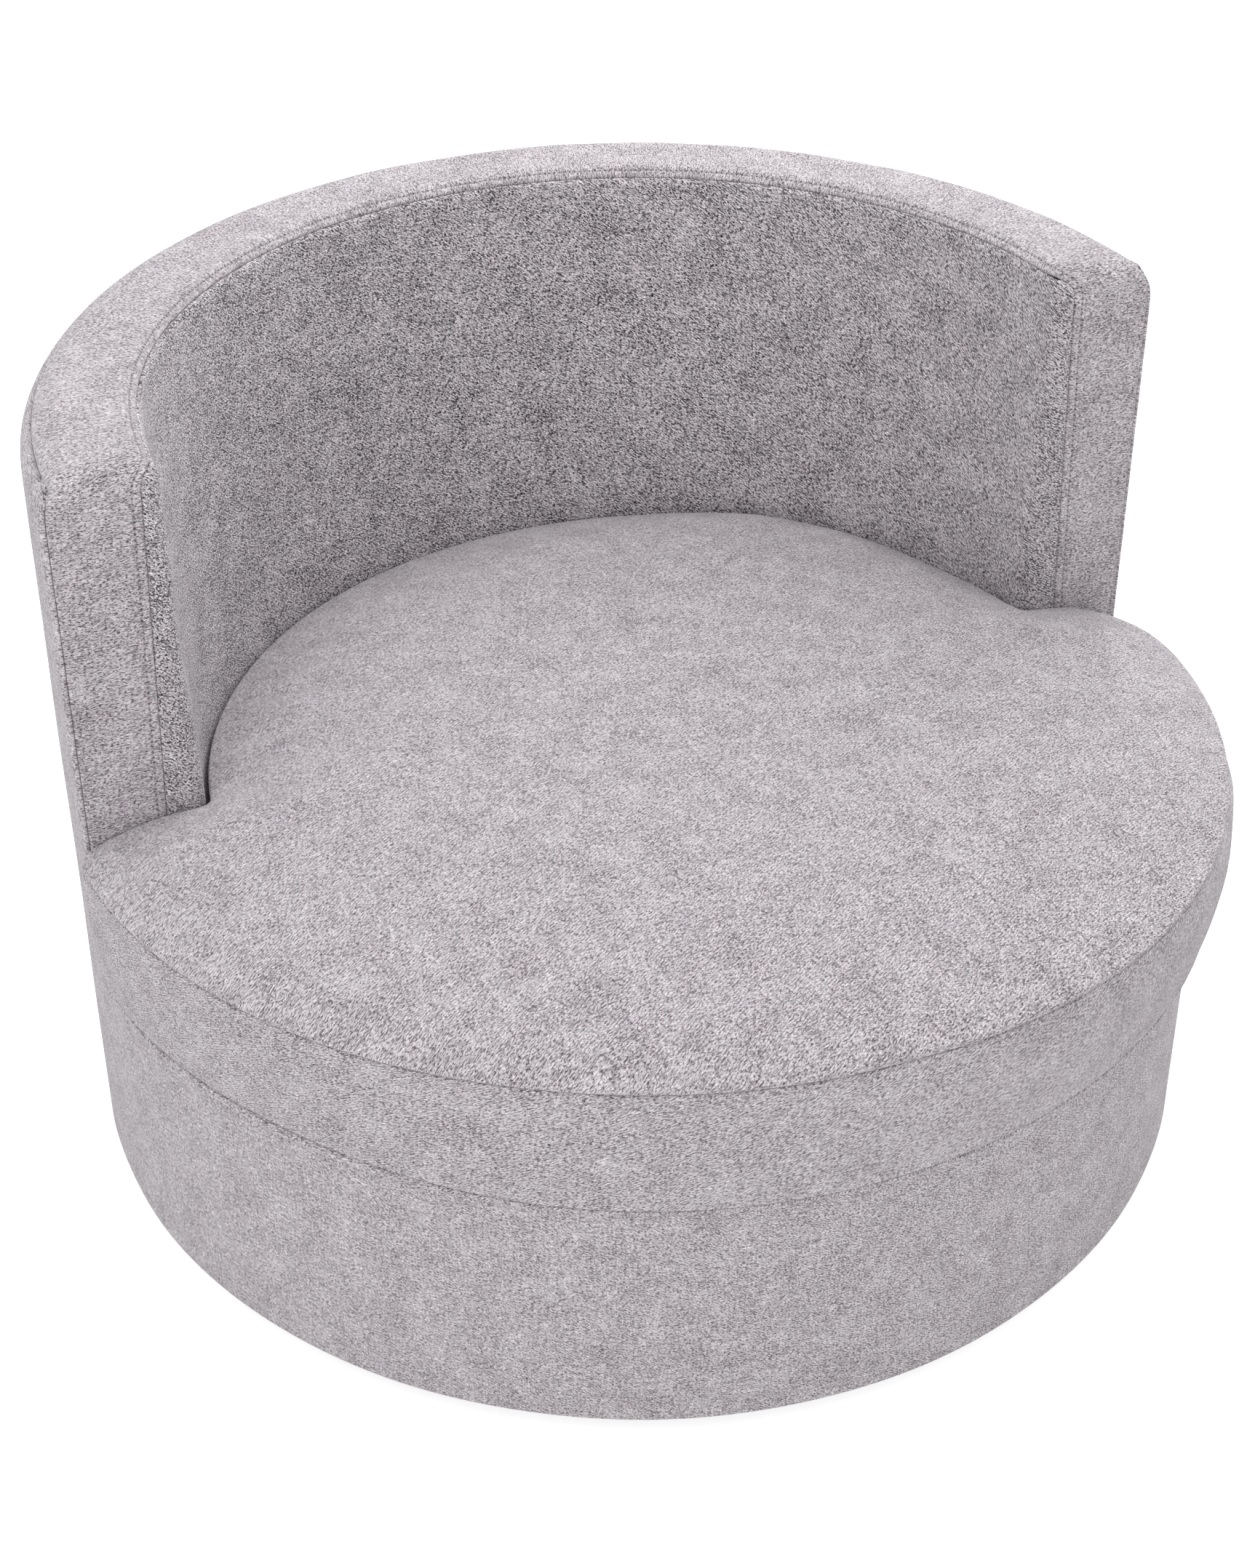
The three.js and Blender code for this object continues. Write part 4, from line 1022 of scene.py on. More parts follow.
rows = drum_rows()
down = run_down(rows)
keep = upper[0, :, 1] > BACK_FROM
back_turns = low_turns[keep]
front_turns = np.linspace(back_turns[-1], back_turns[0] - 2 * math.pi, 361)[1:-1]


def level_way(points):
    """The level direction away from the swivel axis at each point."""
    way = points * np.array([1, 1, 0])
    return way / np.linalg.norm(way, axis=-1, keepdims=True)


def drum_part(name, turns):
    """One part of the drum's wall, from its upper row to the hem."""
    points = drum_wall(turns, rows)
    wave = soft_waves(points, 0.0007, 0.2, 3)[..., None]
    points = points + wave * level_way(points)
    weave = np.stack([
        np.broadcast_to(-OUTER_RADIUS * turns, points.shape[:2]),
        np.broadcast_to((DECK - EDGE_ROUND - down)[:, None], points.shape[:2]),
    ], -1)
    part = lay_sheet(name, points, weave)
    face_like(part, lambda spot: np.stack([spot[:, 0], spot[:, 1], -0.2 + 0 * spot[:, 2]], -1))
    return part


all_turns = np.concatenate([back_turns, front_turns, back_turns[:1] - 2 * math.pi])
drum = drum_part("drum", all_turns)

# %% [markdown]
# Along the open front the wall rounds over onto the deck and runs in to the seam where the show
# cloth ends and the plain lining under the cushion begins.

# %% The front edge
DECK_SEAM_RADIUS = 0.4265


def edge_rows():
    """The front edge: the wall rounds over onto the deck and runs in to the deck's seam."""
    rows = []
    for turn in np.linspace(0, math.pi / 2, 9):
        rows.append((
            OUTER_RADIUS - EDGE_ROUND * (1 - math.cos(turn)),
            DECK - EDGE_ROUND * (1 - math.sin(turn)),
        ))
    for share in np.linspace(0, 1, 16)[1:]:
        run_in = share * (OUTER_RADIUS - EDGE_ROUND - DECK_SEAM_RADIUS)
        rows.append((OUTER_RADIUS - EDGE_ROUND - run_in, DECK))
    return np.array(rows)


over = edge_rows()
over_turns = np.concatenate([back_turns[-1:], front_turns, back_turns[:1] - 2 * math.pi])
points = drum_wall(over_turns, over)
points[..., 1] = np.minimum(points[..., 1], 0.012)
along = run_down(over)
weave = np.stack([
    np.broadcast_to(-OUTER_RADIUS * over_turns, points.shape[:2]),
    np.broadcast_to((DECK - EDGE_ROUND + along)[:, None], points.shape[:2]),
], -1)
wave = soft_waves(points, 0.0007, 0.2, 3)[..., None]
points = points + wave * level_way(points) * np.clip(1 - along / 0.02, 0, 1)[:, None, None]
front_edge = lay_sheet("front_edge", points, weave)
face_like(front_edge, lambda spot: np.stack([spot[:, 0], spot[:, 1], 0.6 + 0 * spot[:, 2]], -1))


# %% [markdown]
# On the real chair these parts are one cover, sewn and pulled on in one go. So the three sheets
# are joined, the points that lie on each other are merged, and the whole gets one thickness.

# %% The outside cover
def join_pieces(first, *others):
    """Joins pieces into the first and merges what touches."""
    clear_selection()
    for piece in (first, *others):
        piece.select_set(True)
    bpy.context.view_layer.objects.active = first
    bpy.ops.object.join()
    bpy.ops.object.mode_set(mode="EDIT")
    bpy.ops.mesh.select_all(action="SELECT")
    bpy.ops.mesh.remove_doubles(threshold=0.0004)
    bpy.ops.object.mode_set(mode="OBJECT")
    return first


outside_cover = join_pieces(back_wall, drum, front_edge)
outside_cover.name = "outside_cover"
finish_cloth(outside_cover, body_cloth, "chair")
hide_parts("base_front_cover", "outside_back_cover", "base_front_padding",
            "outside_back_padding", "deck_edge_roll")

# %% [markdown]
# The loose cushion has three cloth panels: a crowned top, a band called the boxing round its
# side, and a bottom. Its outline follows the round front, turns in along the two arm fronts and
# follows the well at the back.

# %% The cushion's outline
SEAM_ROUND = 0.003
EAR_ROUND = {"left": 0.020, "right": 0.080}
PUSHED_TURN = math.radians(-24)
PUSHED = 0.0050


def turn_of(spots):
    """The direction of each spot seen from the swivel."""
    return np.arctan2(spots[..., 1], spots[..., 0])


def resample(loop, spacing=None, count=None):
    """The closed loop with evenly spaced points."""
    closed = np.concatenate([loop, loop[:1]])
    length = np.concatenate([[0], np.cumsum(np.linalg.norm(np.diff(closed, axis=0), axis=1))])
    count = count or int(round(length[-1] / spacing))
    wanted = np.linspace(0, length[-1], count + 1)[:-1]
    return np.stack([np.interp(wanted, length, closed[:, k]) for k in range(2)], -1)


def loop_out(loop):
    """The outward direction at each point of a closed loop."""
    side = np.roll(loop, -1, 0) - np.roll(loop, 1, 0)
    side /= np.linalg.norm(side, axis=1, keepdims=True)
    return np.stack([side[:, 1], -side[:, 0]], -1)


def ear_corner(arc, line, radius, side):
    """A round corner between the front arc and the line along the arm's front."""
    best = None
    for reach in np.linspace(0.38, 0.52, 701):
        centre = np.array([side * reach, line - radius])
        far = np.hypot(*(arc - centre).T)
        error = abs(far.min() - radius)
        if best is None or error < best[0]:
            best = (error, centre, int(far.argmin()))
    _, centre, touch = best
    begin = math.atan2(*(arc[touch] - centre)[::-1])
    if side < 0:
        begin = begin % (2 * math.pi)
    sweep = np.linspace(begin, math.pi / 2, 60)
    return centre + radius * np.stack([np.cos(sweep), np.sin(sweep)], -1), touch


def cushion_outline(level, spacing=0.004, count=None):
    """The cushion's outline at a level, counterclockwise from the left ear."""
    lean = float(forward_at(level))
    line = -CUSHION_FACING_GAP
    rear = CUSHION_REAR_RADIUS
    reach = math.sqrt(rear ** 2 - (lean + line) ** 2)
    sweep = np.linspace(math.pi + 0.003, 2 * math.pi - 0.003, 1400)
    radius = CUSHION_FRONT_RADIUS + PUSHED * np.cos(sweep - PUSHED_TURN)
    arc = np.stack([radius * np.cos(sweep), radius * np.sin(sweep)], -1)
    left, first = ear_corner(arc, line, EAR_ROUND["left"], -1)
    right, last = ear_corner(arc, line, EAR_ROUND["right"], 1)
    begin = math.asin((lean + line) / rear)
    sweep = np.linspace(begin, math.pi - begin, 800)
    back = np.stack([rear * np.cos(sweep), rear * np.sin(sweep) - lean], -1)
    right_line = np.linspace(right[-1], [reach, line], 60)[1:-1]
    left_line = np.linspace([-reach, line], left[-1], 60)[1:-1]
    loop = np.concatenate([left[::-1], arc[first + 1:last], right, right_line, back, left_line])
    loop = resample(loop, 0.001)
    for _ in range(60):
        loop = 0.25 * np.roll(loop, 1, 0) + 0.5 * loop + 0.25 * np.roll(loop, -1, 0)
    return resample(loop, spacing, count)


outline = cushion_outline(CUSHION_SEAM)
outline_out = loop_out(outline)


# %% [markdown]
# The photographed cushion has been used: its top seam dips at the right ear and rises a little at
# the left and at the rear. Stations along the outline say by how much, and the levels between
# them are smoothed.

# %% How the cushion has settled
SETTLED = [
    ((-0.520, -0.012), -0.009), ((-0.300, -0.440), 0.0), ((0.000, -0.534), -0.001),
    ((0.150, -0.512), -0.010), ((0.280, -0.455), -0.019), ((0.400, -0.355), -0.025),
    ((0.500, -0.200), -0.029), ((0.533, -0.080), -0.034), ((0.515, -0.035), -0.024),
    ((0.495, -0.012), -0.018), ((0.463, -0.002), -0.010), ((0.437, -0.002), -0.004),
    ((0.410, -0.002), -0.001), ((0.373, 0.108), 0.0), ((0.327, 0.186), 0.008),
    ((0.250, 0.260), 0.012), ((0.144, 0.318), 0.006), ((-0.084, 0.334), 0.004),
    ((-0.345, 0.159), 0.005), ((-0.406, 0.010), 0.008), ((-0.440, -0.002), 0.010),
    ((-0.465, -0.002), 0.008), ((-0.498, -0.003), 0.0),
]


def settled_levels():
    """The top seam's level all along the outline: the used cushion sags at its right ear."""
    places = []
    for place, rise in SETTLED:
        far = np.hypot(*(outline - np.array(place)).T)
        places.append((int(far.argmin()), rise))
    places.sort()
    index, rise = np.array(places).T
    count = len(outline)
    levels = np.interp(np.arange(count), index, rise, period=count)
    for _ in range(14):
        levels = (np.roll(levels, 1) + 2 * levels + np.roll(levels, -1)) / 4
    return CUSHION_SEAM + levels


outline_levels = settled_levels()
outline_tree = KDTree(len(outline))
for index, spot in enumerate(outline):
    outline_tree.insert((*spot, 0), index)
outline_tree.balance()


def seam_level(spots):
    """The level of the top seam nearest to each spot."""
    flat = spots.reshape(-1, 2)
    nearest = [outline_tree.find((*spot, 0))[1] for spot in flat]
    return outline_levels[nearest].reshape(spots.shape[:-1])


print("cushion outline", len(outline), "points, seam from", round(float(outline_levels.min()), 4),
      "to", round(float(outline_levels.max()), 4))

# %% [markdown]
# The top panel is cut to the outline, crowned, and then blown up a little by Cloth simulation
# with its edge held at the seam. That gives the fullness and the faint pull along the seam that
# a stuffed cushion has. How far a point may move is capped, so the cushion keeps its size.

# %% The crown of the top
TOP_SPACING = 0.011
CENTRE = np.array([0.0, -0.060])
CENTRE_RADIUS = 0.110


def outline_reach(loop, spots):
    """How far from the cushion's centre the outline lies, in each spot's direction."""
    around = loop - CENTRE
    angle = np.arctan2(around[:, 1], around[:, 0])
    radius = np.hypot(around[:, 0], around[:, 1])
    order = np.argsort(angle)
    away = spots - CENTRE
    wanted = np.arctan2(away[:, 1], away[:, 0])
    return np.interp(wanted, angle[order], radius[order], period=2 * math.pi)


def crown_height(loop, spots):
    """The crown: nearly flat in the middle, falling faster towards the seam."""
    reach = outline_reach(loop, spots)
    away = np.hypot(*(spots - CENTRE).T)
    share = np.clip((away - CENTRE_RADIUS) / (reach - CENTRE_RADIUS), 0, 1)
    return CUSHION_CROWN * (1 - share ** 2.6)


# %% [markdown]
# A square grid would leave steps along the round outline, so the flat pattern is filled with
# even triangles, whose border lies exactly on the seam.

# %% The flat pattern and its heights
TOP_INSET = 0.0022


def cushion_mesh(level, inset):
    """A triangle mesh over the outline, with its boundary exactly on it."""
    edge = cushion_outline(level, TOP_SPACING)
    edge = edge - inset * loop_out(edge)
    low, high = edge.min(0), edge.max(0)
    fine = TOP_SPACING
    grid = []
    for row, y in enumerate(np.arange(low[1], high[1], fine * 0.866)):
        for x in np.arange(low[0] + (row % 2) * fine / 2, high[0], fine):
            grid.append((x, y))
    grid = np.array(grid)
    nearest = KDTree(len(edge))
    for index, spot in enumerate(edge):
        nearest.insert((*spot, 0), index)
    nearest.balance()
    kept = [spot for spot in grid if nearest.find((*spot, 0))[2] > fine * 0.62]
    count = len(edge)
    border = [(k, (k + 1) % count) for k in range(count)]
    found = [Vector(spot) for spot in np.concatenate([edge, kept])]
    spots, _, faces, *_ = delaunay_2d_cdt(found, border, [list(range(count))], 1, 1e-6)
    return np.array([tuple(spot) for spot in spots]), [list(face) for face in faces], edge


def smooth_heights(mesh, heights, fixed, rounds):
    """Averages each height with its neighbours, apart from the fixed ones."""
    pairs = np.zeros(len(mesh.edges) * 2, np.int32)
    mesh.edges.foreach_get("vertices", pairs)
    pairs = pairs.reshape(-1, 2)
    count = np.maximum(1, np.bincount(pairs.ravel(), minlength=len(heights)))
    for _ in range(rounds):
        total = np.bincount(pairs[:, 0], heights[pairs[:, 1]], len(heights))
        total += np.bincount(pairs[:, 1], heights[pairs[:, 0]], len(heights))
        heights = np.where(fixed, heights, 0.5 * heights + 0.5 * total / count)
    return heights


spots, faces, edge = cushion_mesh(CUSHION_SEAM, TOP_INSET)
mesh = bpy.data.meshes.new("cushion_top")
mesh.from_pydata([(*spot, 0) for spot in spots], [], faces)
cushion_top = bpy.data.objects.new("cushion_top", mesh)
bpy.context.scene.collection.objects.link(cushion_top)
border = np.zeros(len(mesh.vertices), bool)
rim = bmesh.new()
rim.from_mesh(mesh)
for vertex in rim.verts:
    border[vertex.index] = vertex.is_boundary
rim.free()
settled = np.where(border, seam_level(spots) - CUSHION_SEAM, 0)
settled = smooth_heights(mesh, settled, border, 500)
height = smooth_heights(mesh, np.where(border, 0, crown_height(edge, spots)), border, 14) + settled
level = CUSHION_SEAM + 2 * SEAM_ROUND
flat = np.stack([spots[:, 0], spots[:, 1], level + height], -1)
mesh.vertices.foreach_set("co", flat.ravel())
mesh.update()
face_like(cushion_top, lambda spot: np.broadcast_to([0.0, 0.0, 1.0], spot.shape))
put_weave(cushion_top, spots[corner_vertices(mesh)])
print("cushion top", len(mesh.vertices), "points, crown", round(float(height.max()), 4))


# %% [markdown]
# Cloth simulation with a little pressure from below lets the top swell as filling makes it
# swell. The border is pinned, gravity is off, and a short run is enough.

# %% Puffed by Cloth simulation
def puff(piece, held, pressure, slack, cap, frames=20):
    """Cloth simulation with pressure and no gravity, each point's movement capped."""
    before = numbers(piece.data)
    group = piece.vertex_groups.new(name="seam")
    group.add([int(k) for k in np.flatnonzero(held)], 1.0, "REPLACE")
    cloth = piece.modifiers.new("cloth", "CLOTH")
    made = cloth.settings
    made.quality = 6
    made.mass = 0.3
    made.tension_stiffness = 12
    made.compression_stiffness = 12
    made.shear_stiffness = 6
    made.bending_stiffness = 1.2
    made.vertex_group_mass = "seam"
    made.use_pressure = True
    made.uniform_pressure_force = pressure
    made.shrink_min = -slack
    made.effector_weights.gravity = 0
    cloth.point_cache.frame_start = 1
    cloth.point_cache.frame_end = frames
    scene = bpy.context.scene
    for step in range(1, frames + 1):
        scene.frame_set(step)
    shown = piece.evaluated_get(bpy.context.evaluated_depsgraph_get())
    after = numbers(shown.data)
    piece.modifiers.remove(cloth)
    piece.vertex_groups.clear()
    scene.frame_set(1)
    move = after - before
    size = np.linalg.norm(move, axis=1, keepdims=True)
    move *= np.minimum(1, cap / np.maximum(size, 1e-9))
    piece.data.vertices.foreach_set("co", (before + move).ravel())
    piece.data.update()
    print(piece.name, "swelled by up to", round(float(size.max()) * 1000, 1), "mm")


puff(cushion_top, border, 4.0, 0.012, 0.008)
apply_modifier(cushion_top, "SUBSURF", levels=1, render_levels=1)


# %% [markdown]
# The panel's border is extruded in short steps that turn over a quarter circle and more, down
# to the seam. The map goes on along the roll, so the weave isn't stretched there.

# %% The cushion's top
SEAT_THICKNESS = 0.0015


def roll_edge(piece, level_of, round_of, angles, drop_from, inset_of=None):
    """Extrudes the panel's border and rolls it over to the bottom of the seam."""
    levels, rounds = level_of(outline), round_of(outline)
    insets = inset_of(outline) if inset_of else np.zeros(len(outline))
    work = bmesh.new()
    work.from_mesh(piece.data)
    layer = work.loops.layers.uv["weave"]
    ring = [edge for edge in work.edges if edge.is_boundary]
    start = {}
    for angle in angles:
        grown = bmesh.ops.extrude_edge_only(work, edges=ring)["geom"]
        fresh = [item for item in grown if isinstance(item, bmesh.types.BMVert)]
        ring = [item for item in grown if isinstance(item, bmesh.types.BMEdge) and item.is_boundary]
        for vertex in fresh:
            _, index, _ = outline_tree.find((vertex.co.x, vertex.co.y, 0))
            out = outline_out[index]
            gap = np.array([vertex.co.x, vertex.co.y]) - outline[index]
            along = gap - (gap @ out) * out
            size = rounds[index]
            spot = outline[index] + along - out * (size * (1 - math.cos(angle)) + insets[index])
            vertex.co = (spot[0], spot[1], levels[index] + size * math.sin(angle))
            mapped = outline[index] + along - out * (size * (1 - math.cos(drop_from)) + insets[index])
            start[vertex] = mapped + out * abs(angle - drop_from) * size
    for face in work.faces:
        for loop in face.loops:
            spot = loop.vert.co
            loop[layer].uv = start.get(loop.vert, spot.xy)
    bmesh.ops.recalc_face_normals(work, faces=work.faces[:])
    work.to_mesh(piece.data)
    work.free()


roll_edge(cushion_top, lambda spots: seam_level(spots) + SEAM_ROUND,
          lambda spots: np.full(len(spots), SEAM_ROUND),
          np.radians([50, 20, -10, -40, -65, -90]), math.radians(74))
face_like(cushion_top, lambda spot: np.broadcast_to([0.0, 0.0, 1.0], spot.shape))
finish_cloth(cushion_top, seat_cloth, "cushion", SEAT_THICKNESS)
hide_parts("cushion_top_panel", "cushion_core")

# %% [markdown]
# The boxing is a long strip on edge. It rolls into the top seam and into the bottom seam, and the
# filling makes it bulge between them, most on the side to which the used cushion is pushed. At
# the front left the bottom panel's roll shows under it as a pale lip.

# %% The cushion's boxing
BOXING_FULLNESS = 0.0070
BOXING_FOOT_IN = 0.0028
FOOT_ROUND = 0.0020
LIP = 0.0026
LIP_TURN = math.radians(-147)
LIP_SPREAD = math.radians(20)


def lip_share(spots):
    """Where the bottom panel's roll shows as a pale lip: at the front left."""
    turn = (turn_of(spots) - LIP_TURN + math.pi) % (2 * math.pi) - math.pi
    return np.exp(-(turn / LIP_SPREAD) ** 2)


def foot_round(spots):
    """The radius of the roll along the bottom seam."""
    return FOOT_ROUND + 0.0031 * lip_share(spots)


def drawn_in(spots):
    """How far the bottom seam is pulled in under the round front."""
    return BOXING_FOOT_IN * np.clip((-0.003 - spots[:, 1]) / 0.01, 0, 1)


def boxing_points():
    """Rows from the top seam to the bottom seam, columns round the outline."""
    high = outline_levels - SEAM_ROUND
    foot_size = foot_round(outline)
    low = CUSHION_FOOT + 2 * foot_size + FOOT_ROUND
    rows = []
    for angle in np.radians([90, 65, 40, 20]):
        rows.append((0.0, SEAM_ROUND * math.sin(angle), SEAM_ROUND * (1 - math.cos(angle))))
    for share in np.linspace(0, 1, 28):
        rows.append((share, 0.0, 0.0))
    for angle in np.radians([-20, -40, -65, -90]):
        rows.append((1.0, FOOT_ROUND * math.sin(angle), FOOT_ROUND * (1 - math.cos(angle))))
    fuller = np.maximum(0.1, np.cos(turn_of(outline) - PUSHED_TURN))
    front = np.clip((-0.003 - outline[:, 1]) / 0.01, 0, 1)
    fullness = BOXING_FULLNESS * fuller * front - 0.0012 * (1 - front)
    foot_in = drawn_in(outline) + LIP * lip_share(outline)
    points = []
    for share, rise, inset in rows:
        level = CUSHION_SEAM + (CUSHION_FOOT - CUSHION_SEAM) * share
        loop = cushion_outline(level, count=len(outline))
        out = loop_out(loop)
        inward = inset + foot_in * share ** 3 - fullness * math.sin(math.pi * share ** 0.7)
        spot = loop - inward[:, None] * out
        height = high + (low - high) * share + rise
        points.append(np.concatenate([spot, height[:, None]], 1))
    return np.stack(points)


points = boxing_points()
down = np.concatenate([[0], np.cumsum(np.linalg.norm(np.diff(points[:, 0], axis=0), axis=1))])
out = np.stack([loop_out(row[:, :2]) for row in points])
out = np.concatenate([out, np.zeros(out.shape[:2] + (1,))], -1)
face = np.clip(np.minimum(down, down[-1] - down) / 0.02, 0, 1)[:, None, None]
points = points + out * (soft_waves(points, 0.0011, 0.09, 12)[..., None] * face)
points = np.concatenate([points, points[:, :1]], 1)
round_length = path_length(points[len(points) // 2])
weave = np.stack([
    np.broadcast_to(round_length, points.shape[:2]), np.broadcast_to(-down[:, None], points.shape[:2]),
], -1)
boxing = lay_sheet("boxing_cloth", points, weave)
face_like(boxing, lambda spot: np.stack([spot[:, 0], spot[:, 1] + 0.06, 0 * spot[:, 2]], -1))
boxing = join_pieces(boxing)
finish_cloth(boxing, seat_cloth, "cushion", SEAT_THICKNESS)
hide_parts("cushion_boxing")

# %% [markdown]
# The bottom panel lies on the deck. Only the roll along its seam can be seen, so it is made as
# the top was, flat and without the simulation, and its weave map is turned a quarter round to
# lie along the roll.

# %% The cushion's bottom
BOTTOM_INSET = 0.0070

spots, faces, edge = cushion_mesh(CUSHION_FOOT, BOTTOM_INSET)
mesh = bpy.data.meshes.new("cushion_bottom")
mesh.from_pydata([(*spot, CUSHION_FOOT) for spot in spots], [], faces)
cushion_bottom = bpy.data.objects.new("cushion_bottom", mesh)
bpy.context.scene.collection.objects.link(cushion_bottom)
put_weave(cushion_bottom, spots[corner_vertices(mesh)])
roll_edge(cushion_bottom, lambda spots: CUSHION_FOOT + foot_round(spots), foot_round,
          np.radians([-60, -35, -10, 20, 45, 65, 90]), math.radians(-80), drawn_in)
for loop in cushion_bottom.data.uv_layers["weave"].data:
    loop.uv = (-loop.uv.y, loop.uv.x)
face_like(cushion_bottom, lambda spot: np.broadcast_to([0.0, 0.0, -1.0], spot.shape))
finish_cloth(cushion_bottom, seat_cloth, "cushion", SEAT_THICKNESS)
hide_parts("cushion_bottom_panel")

# %% [markdown]
# Two plain sheets finish what the show cloth leaves open. The deck is lining stretched over the
# springs under the cushion, sewn to the show cloth at the front edge. The dust cover closes the
# base from below: it is drawn under the bottom ring and stapled there. Both are turned round the
# swivel axis as a lathe would, with the folds that a hand-stretched sheet keeps.

# %% Lining
def lining_material():
    """Black nonwoven lining with its grid of small bonded spots."""
    made, tree = new_material("lining")
    place = add_node(tree, "TexCoord").outputs["Object"]
    spots = add_node(tree, "TexVoronoi", {"Vector": place, "Scale": 520.0, "Randomness": 0.12},
                     voronoi_dimensions="2D").outputs["Distance"]
    bond = map_range(tree, spots, 0.16, 0.30, 0.0, 1.0)
    fibre = noise(tree, place, 900.0, 3.0)
    cloud = noise(tree, place, 18.0, 3.0)
    colour = ramp(tree, fibre, [(0.3, (0.018, 0.018, 0.020)), (0.7, (0.050, 0.050, 0.055))])
    colour = blend_colours(tree, 0.5, colour, ramp(tree, cloud, [(0.3, 0.6), (0.7, 1.0)]), "MULTIPLY")
    height = math_node(tree, "MULTIPLY_ADD", fibre, 0.4, bond)
    finish_surface(tree, colour, height, (0.7, 0.0003), {"Roughness": 0.75, "Sheen Weight": 0.2})
    return made


lining = lining_material()
print("material", lining.name)

# %% [markdown]
# Both sheets are round, so one helper serves them. It turns a profile round the swivel axis and
# adds the small folds that fade out where the sheet is held.

# %% Turning a sheet round the axis
def lathe(name, profile, ripple=0.0, columns=360, seed=1):
    """A sheet turned round the swivel axis. profile has radius, level and how much it ripples."""
    profile = np.array(profile)
    turn = np.linspace(0, 2 * math.pi, columns + 1)
    choose = np.random.default_rng(seed)
    folds = np.zeros(columns + 1)
    for count in (9, 17, 31, 53):
        folds += np.sin(count * turn + choose.uniform(0, 2 * math.pi)) * choose.uniform(0.4, 1)
    level = profile[:, 1:2] + ripple * profile[:, 2:3] * folds / 2
    radius = np.broadcast_to(profile[:, :1], level.shape)
    spots = np.stack([radius * np.cos(turn), radius * np.sin(turn), level], -1)
    piece = lay_sheet(name, spots, spots[..., :2])
    piece = join_pieces(piece)
    clear_selection()
    piece.select_set(True)
    bpy.context.view_layer.objects.active = piece
    bpy.ops.object.mode_set(mode="EDIT")
    bpy.ops.mesh.select_all(action="SELECT")
    bpy.ops.mesh.normals_make_consistent(inside=False)
    bpy.ops.object.mode_set(mode="OBJECT")
    return piece


# %% [markdown]
# The deck hangs a little into the springs at its middle and turns down at its edge, where it is
# sewn to the show cloth.


# %% The deck
DECK_RADIUS = 0.4245
DECK_SAG = 0.0016

profile = []
for share in np.linspace(0.004, 1, 40):
    rise = DECK_SAG * share ** 2 - DECK_SAG
    ripple = share * math.sin(math.pi * share)
    profile.append((share * (DECK_RADIUS - 0.004), DECK - 0.0008 + rise, ripple))
for turn in np.linspace(0.2, math.pi / 2, 5):
    profile.append((
        DECK_RADIUS - 0.002 + 0.002 * math.sin(turn), DECK - 0.0028 + 0.002 * math.cos(turn), 0.0,
    ))
deck = lathe("deck_cloth", profile, 0.0008, seed=4)
face_like(deck, lambda spot: np.broadcast_to([0.0, 0.0, 1.0], spot.shape))
finish_cloth(deck, lining, "chair", 0.001)
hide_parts("deck_cover", "deck_pad")

# %% [markdown]
# The dust cover is one square of lining, cut round and with a hole for the swivel. It is pulled
# tight under the bottom ring, folded in at its edge and stapled there. One staple is modelled
# from a cube and copied round the ring, each copy a little off its even place.

# %% The dust cover and its staples
DUST_INNER = 0.2165
DUST_OUTER = 0.449
STAPLE = (0.0100, 0.0012, 0.0007)
STAPLES = 44

profile = [
    (DUST_INNER, 0.0386, 0.0), (DUST_INNER + 0.003, 0.0393, 0.0), (0.250, 0.0392, 0.6),
    (0.290, 0.0388, 1.0), (0.330, 0.0385, 1.0), (0.370, 0.0385, 1.0), (0.400, 0.0385, 0.7),
    (0.415, 0.0380, 0.3), (0.4210, 0.0355, 0.0), (0.4236, 0.0320, 0.0), (0.4240, 0.0270, 0.0),
    (0.4240, 0.0228, 0.0), (0.4244, 0.0218, 0.0), (0.4256, 0.0215, 0.0), (0.4300, 0.0215, 0.0),
    (DUST_OUTER - 0.002, 0.0215, 0.0),
    (DUST_OUTER, 0.0212, 0.0), (DUST_OUTER - 0.002, 0.0207, 0.0), (0.4400, 0.0207, 0.0),
]
dust_cloth = lathe("dust_cloth", profile, 0.0006, seed=9)
face_like(dust_cloth, lambda spot: np.broadcast_to([0.0, 0.0, -1.0], spot.shape))
finish_cloth(dust_cloth, lining, "chair", 0.0003)
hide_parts("dust_cover")

clear_selection()
bpy.ops.mesh.primitive_cube_add(size=1, location=(DUST_OUTER - 0.006, 0, 0.0202))
staple = bpy.context.object
staple.name = "dust_cover_staples"
bpy.ops.transform.resize(value=(STAPLE[1], STAPLE[0], STAPLE[2]))
bpy.ops.object.transform_apply(location=True, scale=True)
apply_modifier(staple, "BEVEL", width=0.0003, segments=2)
spots = numbers(staple.data)
faces = [list(face.vertices) for face in staple.data.polygons]
choose = np.random.default_rng(6)
places = []
for k in range(STAPLES):
    turn = 2 * math.pi * k / STAPLES + choose.uniform(-0.01, 0.01)
    tilt = Matrix.Rotation(turn, 3, "Z")
    places.append(spots @ np.array(tilt).T)
staple.data.clear_geometry()
copies = copied_faces(faces, len(spots), STAPLES)
staple.data.from_pydata(np.concatenate(places).tolist(), [], copies)
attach(staple, "chair")
print("staples", STAPLES)

# %% [markdown]
# The frame under the covers keeps its CAD shapes and gets its finishes here. Plywood shows its
# veneer on the faces and its plies on the edges, so each board's own axes are found from its
# shape: the thinnest way lies across the plies and the longest along the grain.

# %% Boards
def board_axes(thing):
    """The board's centre and its axes: along the grain, across it and through the plies."""
    spots = numbers(thing.data)
    centre = (spots.min(0) + spots.max(0)) / 2
    _, _, axes = np.linalg.svd(spots - spots.mean(0), full_matrices=False)
    if np.linalg.det(axes) < 0:
        axes[1] = -axes[1]
    return centre, axes


PLY = 0.0014


